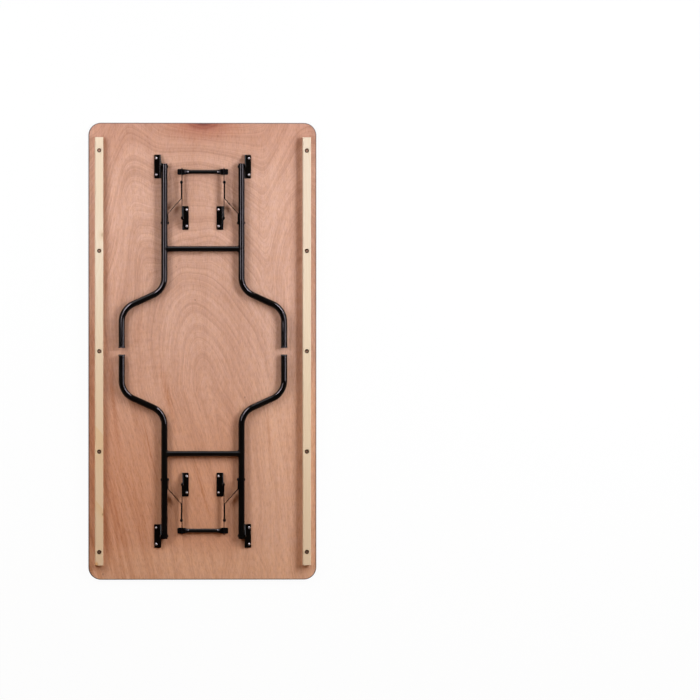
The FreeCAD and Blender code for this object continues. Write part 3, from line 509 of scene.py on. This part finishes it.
BAND_BROWN = (0.150, 0.094, 0.080)
BAND_DARK = (0.112, 0.069, 0.058)
BAND_RUBBED = (0.270, 0.195, 0.170)


def moulded_band():
    f = Finish("moulded_band")
    cloud = f.noise(16.0, 3.0, 0.6)
    speck = f.noise(900.0, 2.0, 0.6)
    rub = f.smooth(f.noise(60.0, 4.0, 0.7, (1.0, 1.0, 2.0), (5.0, 1.0, 0.0)), 0.58, 0.74)
    tone = f.mix(f.smooth(cloud, 0.3, 0.7), BAND_BROWN, BAND_DARK)
    tone = f.mix(rub * 0.35, tone, BAND_RUBBED)
    f.bump(speck * 0.5 + rub * -0.4, 0.02 * MM, 0.5)
    rough = f.between(f.smooth(speck, 0.3, 0.7), 0.40, 0.54)
    return f.surface(Base_Color=tone, Roughness=rough, Specular_IOR_Level=0.4)


ENAMEL_COOL = (0.0016, 0.0016, 0.0020)
ENAMEL_WARM = (0.0028, 0.0026, 0.0025)
ENAMEL_DUST = (0.045, 0.042, 0.038)
ENAMEL_SCUFF = (0.018, 0.017, 0.016)


def black_enamel():
    f = Finish("black_enamel")
    peel = f.noise(240.0, 2.0, 0.5)
    run = f.noise(26.0, 3.0, 0.55, (1.0, 0.4, 1.0))
    dust = f.smooth(f.noise(1900.0, 2.0, 0.6, shift=(1.0, 0.0, 0.0)), 0.64, 0.80)
    scuff = f.smooth(f.noise(70.0, 5.0, 0.75, shift=(0.0, 7.0, 0.0)), 0.60, 0.74)
    tone = f.mix(f.smooth(run, 0.3, 0.7), ENAMEL_COOL, ENAMEL_WARM)
    tone = f.painted(tone, ((dust * 0.16, ENAMEL_DUST), (scuff * 0.16, ENAMEL_SCUFF)))
    # The pressed ends of the lock bars are duller.
    from_middle = f.size_of(f.x)
    from_bar = f.size_of(f.size_of(f.y) - LOCK_BAR_Y)
    pressed = f.smooth(from_middle, 58 * MM, 65 * MM) * f.smooth(from_middle, 112 * MM, 106 * MM)
    pressed = pressed * f.smooth(from_bar, 16 * MM, 13 * MM)
    rough = f.between(f.smooth(run, 0.3, 0.7), 0.07, 0.11)
    rough = rough + scuff * 0.14 + dust * 0.10 + pressed * 0.30
    f.bump(peel * 0.8 + scuff * -0.2, 0.06 * MM, 0.35)
    return f.surface(Base_Color=tone, Roughness=rough, Specular_IOR_Level=0.32 - pressed * 0.22)


RIVET_PAINT = (0.009, 0.009, 0.010)
RIVET_WORN = (0.240, 0.230, 0.220)


def painted_rivet():
    f = Finish("painted_rivet")
    peel = f.noise(320.0, 2.0, 0.5)
    worn = f.smooth(f.noise(210.0, 4.0, 0.7), 0.58, 0.68)
    tone = f.mix(worn * 0.8, RIVET_PAINT, RIVET_WORN)
    rough = f.between(worn, 0.22, 0.38) + peel * 0.06
    f.bump(peel * 0.6 + worn * -0.6, 0.06 * MM, 0.5)
    return f.surface(Base_Color=tone, Roughness=rough, Metallic=worn * 0.85)


# Down in the battens' counterbores, nuts, washers and bolt ends get painted shade with a brown
# painted reflection of the wood round them, a painted dark ring of shade on the washers, and look
# dull
SUNK_START, SUNK_FULL = -30 * MM, -20 * MM
ZINC_BRIGHT = (0.500, 0.505, 0.515)
ZINC_GREY = (0.410, 0.410, 0.410)
ZINC_STAIN = (0.360, 0.330, 0.290)
ZINC_COUNTERBORE_PAINTED_SHADE = (0.320, 0.195, 0.120)
ZINC_RING_PAINTED_SHADE = (0.050, 0.028, 0.015)


def bright_zinc():
    f = Finish("bright_zinc")
    spangle = f.noise(420.0, 3.0, 0.6)
    wipe = f.noise(1600.0, 2.0, 0.6, (1.0, 0.15, 1.0))
    stain = f.smooth(f.noise(130.0, 3.0, 0.6, shift=(2.0, 0.0, 5.0)), 0.55, 0.75)
    across = f.size_of(f.x) - BATTEN_X
    along = f.y - f.math("ROUND", f.y / BATTEN_BOLT_PITCH) * BATTEN_BOLT_PITCH
    counterbore_painted_shade = f.smooth(across, SUNK_START, SUNK_FULL)
    ring_painted_shade = counterbore_painted_shade * f.smooth(f.away(across, along), 4.6 * MM, 6.2 * MM)
    tone = f.mix(f.smooth(spangle, 0.3, 0.7), ZINC_BRIGHT, ZINC_GREY)
    # painted shade and brown painted reflection in the counterbore, and a dark painted ring round
    # the nut
    tone = f.painted(
        tone,
        ((stain * 0.45, ZINC_STAIN), (counterbore_painted_shade * 0.90, ZINC_COUNTERBORE_PAINTED_SHADE), (ring_painted_shade, ZINC_RING_PAINTED_SHADE)),
    )
    rough = f.between(f.smooth(wipe, 0.3, 0.7), 0.30, 0.42) + stain * 0.12 + counterbore_painted_shade * 0.15
    f.bump(wipe * 0.4 + spangle * 0.4, 0.03 * MM, 0.5)
    return f.surface(Base_Color=tone, Roughness=rough, Metallic=1.0)


BOLT_GREY = (0.330, 0.320, 0.310)
BOLT_TARNISH = (0.155, 0.135, 0.120)
BOLT_COUNTERBORE_PAINTED_SHADE = (0.400, 0.255, 0.165)


def dull_bolt():
    f = Finish("dull_bolt")
    grain = f.noise(800.0, 3.0, 0.6)
    tarnish = f.noise(150.0, 4.0, 0.65)
    counterbore_painted_shade = f.smooth(f.size_of(f.x) - BATTEN_X, SUNK_START, SUNK_FULL)
    counterbore_painted_shade = counterbore_painted_shade * f.smooth(f.z, 20 * MM, 30 * MM)
    tone = f.mix(f.smooth(tarnish, 0.35, 0.68), BOLT_GREY, BOLT_TARNISH)
    # painted shade and brown painted reflection on the bolt ends in the counterbores
    tone = f.mix(counterbore_painted_shade * 0.85, tone, BOLT_COUNTERBORE_PAINTED_SHADE)
    rough = f.between(f.smooth(grain, 0.3, 0.7), 0.36, 0.52)
    f.bump(grain * 0.5 + tarnish * 0.3, 0.04 * MM, 0.6)
    return f.surface(Base_Color=tone, Roughness=rough, Metallic=1.0)


FOOT_BLACK = (0.010, 0.010, 0.010)
FOOT_GREY = (0.018, 0.017, 0.016)
FOOT_SCUFF = (0.070, 0.066, 0.060)


def foot_plastic():
    f = Finish("foot_plastic")
    grain = f.noise(1500.0, 2.0, 0.5)
    cloud = f.noise(60.0, 3.0, 0.6)
    scuff = f.smooth(f.noise(170.0, 4.0, 0.7, shift=(0.0, 3.0, 1.0)), 0.58, 0.72)
    tone = f.mix(f.smooth(cloud, 0.3, 0.7), FOOT_BLACK, FOOT_GREY)
    tone = f.mix(scuff * 0.4, tone, FOOT_SCUFF)
    rough = f.between(f.smooth(grain, 0.3, 0.7), 0.42, 0.58)
    f.bump(grain * 0.7 + scuff * -0.3, 0.08 * MM, 0.6)
    return f.surface(Base_Color=tone, Roughness=rough, Specular_IOR_Level=0.45)


FINISHES = {
    "plywood": plywood_veneer(),
    "pine": pine_batten(),
    "edge_band": moulded_band(),
    "black_enamel": black_enamel(),
    "rivet_steel": painted_rivet(),
    "bolt_steel": dull_bolt(),
    "zinc_plate": bright_zinc(),
    "foot_plastic": foot_plastic(),
}

for subpart in frame["record"]["subparts"]:
    node = frame["nodes"][subpart["node"]]
    for place in node.material_slots:
        place.material = FINISHES[subpart["material_slot"]]

# Points nearer than this are one point, and edges shorter than this are none
SAME_POINT = 1e-6
NO_EDGE = 1e-7
# Edges that turn by more than this stay sharp
SHARP_TURN = math.radians(32)
# How far a cutting shape goes past the face that it cuts
CUT_PAST = 1.0 * MM


class Maker(Nodes):
    """A Geometry Nodes tree with named sizes that puts one shape at each place of a mesh."""

    def __init__(self, name, sizes):
        super().__init__(bpy.data.node_groups.new(name, "GeometryNodeTree"))
        self.sizes = sizes
        panel = self.tree.interface
        panel.new_socket("Places", in_out="INPUT", socket_type="NodeSocketGeometry")
        for size in sizes:
            panel.new_socket(size, in_out="INPUT", socket_type="NodeSocketFloat")
        panel.new_socket("Finish", in_out="INPUT", socket_type="NodeSocketMaterial")
        panel.new_socket("Pieces", in_out="OUTPUT", socket_type="NodeSocketGeometry")
        self.given = self.add("NodeGroupInput")
        self.result = self.add("NodeGroupOutput")

    def given_sizes(self):
        return [Field(self, self.given.outputs[name]) for name in self.sizes]

    def moved(self, shape, **parts):
        return self.add("GeometryNodeTransform", {"Geometry": shape, **parts}).outputs[0]

    def joined(self, *shapes):
        node = self.add("GeometryNodeJoinGeometry")
        for shape in shapes:
            self.put(node.inputs[0], shape)
        return node.outputs[0]

    def cone(self, low_radius, high_radius, low, high, sides, closed=False):
        node = self.add(
            "GeometryNodeMeshCone",
            {
                "Vertices": sides,
                "Radius Bottom": low_radius,
                "Radius Top": high_radius,
                "Depth": self.math("SUBTRACT", high, low),
            },
            fill_type="NGON" if closed else "NONE",
        )
        return self.moved(node.outputs["Mesh"], Translation=self.vector(z=low))

    def turned(self, profile, sides):
        """A closed round shape whose outline is a list of radius and height."""
        walls = [
            self.cone(low[0], high[0], low[1], high[1], sides)
            for low, high in zip(profile, profile[1:])
        ]
        return self.add(
            "GeometryNodeMergeByDistance",
            {"Geometry": self.joined(*walls), "Distance": SAME_POINT},
        ).outputs[0]

    def boolean(self, operation, first, *others):
        node = self.add("GeometryNodeMeshBoolean", operation=operation, solver="EXACT")
        self.put(node.inputs["Mesh 1" if operation == "DIFFERENCE" else "Mesh 2"], first)
        for other in others:
            self.put(node.inputs["Mesh 2"], other)
        return node.outputs[0]

    def finish_at_places(self, shape, turn=None):
        inputs = {"Points": self.given.outputs["Places"], "Instance": shape}
        if turn is not None:
            inputs["Rotation"] = turn
        placed = self.add("GeometryNodeInstanceOnPoints", inputs)
        real = self.add("GeometryNodeRealizeInstances", {0: placed.outputs[0]})
        painted = self.add(
            "GeometryNodeSetMaterial",
            {"Geometry": real.outputs[0], "Material": self.given.outputs["Finish"]},
        )
        self.put(self.result.inputs["Pieces"], painted.outputs[0])

    def make(self, name, places, sizes, slot, body, turns=None, replaces=()):
        """Runs the tree on the places and leaves a plain mesh that rides on the body."""
        seed = bpy.data.meshes.new(name + "_places")
        seed.from_pydata(places, [], [])
        if turns:
            seed.attributes.new("turn", "FLOAT", "POINT").data.foreach_set("value", turns)
        source = bpy.data.objects.new(name + "_places", seed)
        bpy.context.scene.collection.objects.link(source)
        modifier = source.modifiers.new("make", "NODES")
        modifier.node_group = self.tree
        sockets = self.tree.interface.items_tree
        named = {item.name: item.identifier for item in sockets if item.in_out == "INPUT"}
        for size in self.sizes:
            modifier[named[size]] = sizes[size]
        modifier[named["Finish"]] = FINISHES[slot]
        bpy.context.view_layer.update()
        evaluated = source.evaluated_get(bpy.context.evaluated_depsgraph_get())
        mesh = bpy.data.meshes.new_from_object(evaluated)
        source.modifiers.remove(modifier)
        bpy.data.objects.remove(source)
        settle(name, mesh, body, replaces)


def settle(name, mesh, body, replaces):
    """Closes the mesh, turns its faces outwards and lets the piece ride on its body."""
    work = bmesh.new()
    work.from_mesh(mesh)
    bmesh.ops.remove_doubles(work, verts=work.verts, dist=SAME_POINT)
    bmesh.ops.dissolve_degenerate(work, edges=work.edges, dist=NO_EDGE)
    bmesh.ops.recalc_face_normals(work, faces=work.faces)
    work.to_mesh(mesh)
    work.free()
    mesh.shade_smooth()
    mesh.set_sharp_from_angle(angle=SHARP_TURN)
    mesh.name = name
    piece = bpy.data.objects.new(name, mesh)
    bpy.context.scene.collection.objects.link(piece)
    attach(piece, body)
    if replaces:
        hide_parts(*replaces)


NUT_CHAMFER = 0.7 * MM


def hexagon(m, across_flats, high):
    """A hexagon bar cut to length, with both ends turned to a chamfer."""
    corner = across_flats * (1 / math.sqrt(3))
    edge = across_flats * 0.5 * 0.97
    past_corner = corner * 1.01
    bar = m.cone(corner, corner, 0.0, high, 6, closed=True)
    barrel = m.turned(
        [
            (0.0, 0.0),
            (edge, 0.0),
            (past_corner, NUT_CHAMFER),
            (past_corner, high - NUT_CHAMFER),
            (edge, high),
            (0.0, high),
        ],
        36,
    )
    return m.boolean("INTERSECT", bar, barrel)


def cap_nut_maker():
    m = Maker(
        "cap_nut",
        ("Across flats", "Hexagon height", "Dome diameter", "Neck height", "Bore", "Bore depth"),
    )
    flats, height, dome, neck, bore, depth = m.given_sizes()
    radius = dome * 0.5
    sunk_in_hexagon = height - 0.6 * MM
    outline = [(0.0, sunk_in_hexagon), (radius, sunk_in_hexagon), (radius, height + neck)]
    steps = 9
    for step in range(1, steps + 1):
        angle = math.pi / 2 * step / steps
        reach = radius * math.cos(angle) if step < steps else 0.0
        outline.append((reach, height + neck + radius * math.sin(angle)))
    body = m.boolean("UNION", hexagon(m, flats, height), m.turned(outline, 32))
    hole = m.cone(bore * 0.5, bore * 0.5, -CUT_PAST, depth, 24, closed=True)
    m.finish_at_places(m.boolean("DIFFERENCE", body, hole))
    return m


def hexagon_nut_maker():
    m = Maker("hexagon_nut", ("Across flats", "Height", "Bore"))
    flats, height, bore = m.given_sizes()
    radius = bore * 0.5
    lead = 0.5 * MM
    mouth = radius + lead + CUT_PAST
    hole = m.turned(
        [
            (0.0, -CUT_PAST),
            (mouth, -CUT_PAST),
            (radius, lead),
            (radius, height - lead),
            (mouth, height + CUT_PAST),
            (0.0, height + CUT_PAST),
        ],
        32,
    )
    m.finish_at_places(m.boolean("DIFFERENCE", hexagon(m, flats, height), hole))
    return m


def washer_maker():
    m = Maker("washer", ("Diameter", "Hole", "Thickness"))
    diameter, hole, thickness = m.given_sizes()
    outer = diameter * 0.5
    ease = 0.35 * MM
    disc = m.turned(
        [
            (0.0, 0.0),
            (outer - ease, 0.0),
            (outer, ease),
            (outer, thickness - ease),
            (outer - ease, thickness),
            (0.0, thickness),
        ],
        40,
    )
    bore = m.cone(hole * 0.5, hole * 0.5, -CUT_PAST, thickness + CUT_PAST, 32, closed=True)
    m.finish_at_places(m.boolean("DIFFERENCE", disc, bore))
    return m


def countersunk_bolt_maker():
    m = Maker(
        "countersunk_bolt",
        ("Head diameter", "Shank diameter", "Length", "Recess length", "Recess width"),
    )
    head, shank, length, recess, recess_width = m.given_sizes()
    head_radius = head * 0.5
    shank_radius = shank * 0.5
    thread_root = shank_radius - 0.35 * MM
    land = 0.5 * MM
    pitch = 1.0 * MM
    threads = 4
    end_chamfer = 0.8 * MM
    outline = [
        (0.0, 0.0),
        (head_radius - 0.25 * MM, 0.0),
        (head_radius, 0.2 * MM),
        (head_radius, land),
        (shank_radius, head_radius - shank_radius + land),
    ]
    for turn in range(threads, 0, -1):
        low = length - pitch * (turn + 0.6)
        outline += [
            (shank_radius, low),
            (thread_root, low + 0.4 * MM),
            (thread_root, low + 0.5 * MM),
        ]
    outline += [
        (shank_radius, length - end_chamfer),
        (shank_radius - end_chamfer, length),
        (0.0, length),
    ]
    body = m.turned(outline, 32)
    punch_height = 5.0 * MM
    punch_middle = -0.3 * MM
    arms = []
    for size_x, size_y in ((recess, recess_width), (recess_width, recess)):
        punch = m.add("GeometryNodeMeshCube", {"Size": m.vector(size_x, size_y, punch_height)})
        arms.append(m.moved(punch.outputs[0], Translation=(0.0, 0.0, punch_middle)))
    m.finish_at_places(m.boolean("DIFFERENCE", body, *arms))
    return m


def weld_bead_maker():
    m = Maker("weld_bead", ("Tube radius", "Bar radius", "Bead radius", "Ripples"))
    tube, bar, bead, ripples = m.given_sizes()
    ring = m.add("GeometryNodeCurvePrimitiveCircle", {"Resolution": 150, "Radius": 1.0})
    section = m.add("GeometryNodeCurvePrimitiveCircle", {"Resolution": 10, "Radius": 1.0})
    at = m.add("ShaderNodeSeparateXYZ", {0: m.add("GeometryNodeInputPosition").outputs[0]})
    over, up = (Field(m, at.outputs[axis]) for axis in ("X", "Y"))
    # The bead's middle follows the line where the bar meets the tube, a little outside both.
    round_bar = bar + bead * 0.25
    off_tube = tube + bead * 0.25
    height = up * round_bar
    inward = m.root(off_tube * off_tube - height * height)
    path = m.add(
        "GeometryNodeSetPosition",
        {
            "Geometry": ring.outputs[0],
            "Position": m.vector(inward * -1.0, over * round_bar, height),
        },
    )
    travel = Field(m, m.add("GeometryNodeSplineParameter").outputs["Factor"])
    wave = m.math("SINE", travel * ripples * (2 * math.pi))
    lump = m.add(
        "ShaderNodeTexNoise",
        {"W": travel * 9.0, "Scale": 1.0, "Detail": 1.0},
        noise_dimensions="1D",
    )
    thick = bead * (wave * 0.12 + Field(m, lump.outputs[0]) * 0.5 + 0.72)
    run = m.add(
        "GeometryNodeCurveToMesh",
        {"Curve": path.outputs[0], "Profile Curve": section.outputs[0], "Scale": thick},
    )
    turn = m.add("GeometryNodeInputNamedAttribute", {"Name": "turn"}, data_type="FLOAT")
    m.finish_at_places(run.outputs[0], turn=m.vector(z=turn.outputs[0]))
    return m


def bracket_bolts_at(height):
    return [
        (side * x, end * y + step, height)
        for x, y in ((HINGE_BOLT_X, HINGE_Y), (STAY_BOLT_X, STAY_Y))
        for side in (-1, 1)
        for end in (1, -1)
        for step in (-BRACKET_BOLT_HALF_PITCH, BRACKET_BOLT_HALF_PITCH)
    ]


def batten_bolts_at(height):
    return [
        (side * BATTEN_X, step * BATTEN_BOLT_PITCH, height)
        for side in (-1, 1)
        for step in (-2, -1, 0, 1, 2)
    ]


WASHER_THICKNESS = 1.6 * MM
NUT_FLATS = 10 * MM
NUT_HEIGHT = 5.0 * MM
NUT_BORE = 6.1 * MM
BOLT_DIAMETER = 6 * MM
# Bolt heads sit a little below the working face, and the bolts end inside or past their nuts
BOLT_RECESS = 0.3 * MM
BOLT_IN_CAP_NUT = 7.2 * MM
BOLT_PAST_NUT = 2.0 * MM

cap_nut_maker().make(
    "cap_nuts",
    bracket_bolts_at(BRACKET_SEAT),
    {
        "Across flats": NUT_FLATS,
        "Hexagon height": 5.5 * MM,
        "Dome diameter": 9.5 * MM,
        "Neck height": 1.2 * MM,
        "Bore": NUT_BORE,
        "Bore depth": 8 * MM,
    },
    "zinc_plate",
    "table",
    replaces=("bracket_cap_nuts",),
)
hexagon_nut_maker().make(
    "nuts_of_battens",
    batten_bolts_at(COUNTERBORE_FLOOR + WASHER_THICKNESS),
    {"Across flats": NUT_FLATS, "Height": NUT_HEIGHT, "Bore": NUT_BORE},
    "zinc_plate",
    "table",
    replaces=("batten_nuts",),
)
washer_maker().make(
    "washers_of_battens",
    batten_bolts_at(COUNTERBORE_FLOOR),
    {"Diameter": 16 * MM, "Hole": 6.4 * MM, "Thickness": WASHER_THICKNESS},
    "zinc_plate",
    "table",
    replaces=("batten_washers",),
)
bolt_maker = countersunk_bolt_maker()
bolt_maker.make(
    "bolts_of_brackets",
    bracket_bolts_at(BOLT_RECESS),
    {
        "Head diameter": 14 * MM,
        "Shank diameter": BOLT_DIAMETER,
        "Length": BRACKET_SEAT + BOLT_IN_CAP_NUT - BOLT_RECESS,
        "Recess length": 7.0 * MM,
        "Recess width": 1.5 * MM,
    },
    "bolt_steel",
    "table",
    replaces=("bracket_bolts",),
)
bolt_maker.make(
    "bolts_of_battens",
    batten_bolts_at(BOLT_RECESS),
    {
        "Head diameter": 12 * MM,
        "Shank diameter": BOLT_DIAMETER,
        "Length": COUNTERBORE_FLOOR + WASHER_THICKNESS + NUT_HEIGHT + BOLT_PAST_NUT - BOLT_RECESS,
        "Recess length": 6.4 * MM,
        "Recess width": 1.4 * MM,
    },
    "bolt_steel",
    "table",
    replaces=("batten_bolts",),
)
weld_maker = weld_bead_maker()
for end, sign in ENDS.items():
    weld_maker.make(
        "crossbar_welds_" + end,
        [(side * LEG_X, sign * CROSSBAR_Y, LEG_AXIS_Z) for side in (1, -1)],
        {
            "Tube radius": LEG_TUBE_RADIUS,
            "Bar radius": CROSSBAR_RADIUS,
            "Bead radius": 2.3 * MM,
            "Ripples": 24.0,
        },
        "black_enamel",
        "leg_frame_" + end,
        turns=[0.0, math.pi],
    )

# Pale floor under the table. It looks white, and a small share of its own shade keeps the shadow.
FLOOR_HALF = 40.0
FLOOR_Z = -0.5 * MM
FLOOR_SHADE = (0.86, 0.86, 0.86, 1.0)
FLOOR_WHITE_SHARE = 0.96
WHITE = (1.0, 1.0, 1.0, 1.0)


def floor_finish():
    material = bpy.data.materials.new("pale_floor")
    material.use_nodes = True
    n = Nodes(material.node_tree)
    n.tree.nodes.clear()
    matt = n.add("ShaderNodeBsdfDiffuse", {"Color": FLOOR_SHADE})
    glow = n.add("ShaderNodeEmission", {"Color": WHITE, "Strength": 1.0})
    rays = n.add("ShaderNodeLightPath").outputs
    seen = Field(n, rays["Is Camera Ray"])
    for kind in ("Is Glossy Ray", "Is Transmission Ray"):
        seen = n.math("MAXIMUM", seen, Field(n, rays[kind]))
    blend = n.add(
        "ShaderNodeMixShader",
        {0: seen * FLOOR_WHITE_SHARE, 1: matt.outputs[0], 2: glow.outputs[0]},
    )
    n.add("ShaderNodeOutputMaterial", {"Surface": blend.outputs[0]})
    return material


floor_mesh = bpy.data.meshes.new("floor")
floor_mesh.from_pydata(
    [(x * FLOOR_HALF, y * FLOOR_HALF, FLOOR_Z) for x, y in ((-1, -1), (1, -1), (1, 1), (-1, 1))],
    [],
    [(0, 1, 2, 3)],
)
floor_mesh.materials.append(floor_finish())
floor = bpy.data.objects.new("floor", floor_mesh)
bpy.context.scene.collection.objects.link(floor)

# Soft boxes light the wood from both sides, and narrow strips give the lines of shine on the
# tubes. Each row: place, aim, size, power.
LAMP_COLOUR = (0.90, 1.00, 1.06)
SHINE_COLOUR = (1.10, 0.96, 1.08)
SOFT_BOXES = {
    "soft_box_left": ((-1.84, 1.10, 2.00), (-0.10, 0.20, 0.0), (1.07, 2.40), 57.2),
    "soft_box_right": ((2.16, 0.90, 2.00), (0.10, 0.05, 0.0), (1.17, 2.50), 82.8),
}
SHINE_STRIPS = {
    "strip_left_near": ((-1.41, 0.45, 2.06), (-0.16, -0.30, 0.16), (0.34, 0.74), 14.0),
    "strip_left_far": ((-1.24, 1.40, 1.80), (0.01, 0.65, -0.10), (0.34, 1.26), 52.0),
    "strip_right_near": ((1.97, 0.32, 2.03), (0.17, -0.43, 0.13), (0.34, 0.99), 23.4),
    "strip_right_far": ((1.76, 1.43, 1.80), (-0.04, 0.68, -0.10), (0.34, 1.31), 66.0),
}


def lamp_box(name, colour, at, aim, size, power):
    lamp = bpy.data.lights.new(name, "AREA")
    lamp.shape = "RECTANGLE"
    lamp.size, lamp.size_y = size
    lamp.energy = power
    lamp.color = colour
    box = bpy.data.objects.new(name, lamp)
    box.location = at
    away = (Vector(at) - Vector(aim)).normalized()
    side = Vector((0, 1, 0)).cross(away).normalized()
    tall = away.cross(side)
    box.rotation_euler = Matrix((side, tall, away)).transposed().to_euler()
    bpy.context.scene.collection.objects.link(box)
    return box


for name, row in SOFT_BOXES.items():
    lamp_box(name, LAMP_COLOUR, *row).visible_glossy = False
for name, row in SHINE_STRIPS.items():
    lamp_box(name, SHINE_COLOUR, *row).visible_diffuse = False

# Warm light from the whole room, less of it in reflections, and a pale wall low beyond end a
# that only reflections show
ROOM_COLOUR = (1.0, 0.53, 0.22, 1.0)
ROOM_LIGHT = 0.19
ROOM_SHINE = 0.05
WALL_COLOUR = (1.02, 1.0, 1.04, 1.0)
WALL_SHINE = 2.1


def studio_world():
    """The room round the table, which looks white beyond the floor."""
    world = bpy.data.worlds.new("studio")
    bpy.context.scene.world = world
    world.use_nodes = True
    n = Nodes(world.node_tree)
    n.tree.nodes.clear()
    way = n.add("ShaderNodeSeparateXYZ", {0: n.add("ShaderNodeTexCoord").outputs["Generated"]})
    east, north, up = (Field(n, out) for out in way.outputs)
    wall = n.smooth(up, 0.78, 0.64) * n.smooth(north - n.size_of(east) * 2.2, -0.05, 0.25)
    rays = n.add("ShaderNodeLightPath").outputs
    shine = Field(n, rays["Is Glossy Ray"])
    seen_through = Field(n, rays["Is Transmission Ray"])
    seen = n.math("MAXIMUM", Field(n, rays["Is Camera Ray"]), seen_through)
    pale = n.add(
        "ShaderNodeBackground", {"Color": WALL_COLOUR, "Strength": wall * shine * WALL_SHINE}
    )
    warm = n.add(
        "ShaderNodeBackground",
        {"Color": ROOM_COLOUR, "Strength": ROOM_LIGHT - shine * (ROOM_LIGHT - ROOM_SHINE)},
    )
    room = n.add("ShaderNodeAddShader", {0: pale.outputs[0], 1: warm.outputs[0]})
    white = n.add("ShaderNodeBackground", {"Color": WHITE, "Strength": 1.0})
    view = n.add("ShaderNodeMixShader", {0: seen, 1: room.outputs[0], 2: white.outputs[0]})
    n.add("ShaderNodeOutputWorld", {"Surface": view.outputs[0]})


studio_world()

# Above the table and a little to its left, framed as the photograph frames it
PICTURE_WIDTH = 2.807
PICTURE_MIDDLE = (0.593, 0.005, UNDERSIDE)
CAMERA_DISTANCE = 60.0
CAMERA_LEAN = math.radians(5.0)
camera_data = bpy.data.cameras.new("camera")
camera_data.sensor_width = 36.0
camera_data.lens = camera_data.sensor_width * CAMERA_DISTANCE / PICTURE_WIDTH
camera_data.clip_end = 200.0
camera = bpy.data.objects.new("camera", camera_data)
back_off = Vector((-math.sin(CAMERA_LEAN), 0.0, math.cos(CAMERA_LEAN))) * CAMERA_DISTANCE
camera.location = Vector(PICTURE_MIDDLE) + back_off
camera.rotation_euler = (0.0, -CAMERA_LEAN, 0.0)
bpy.context.scene.collection.objects.link(camera)
bpy.context.scene.camera = camera
bpy.context.scene.view_settings.view_transform = "Standard"
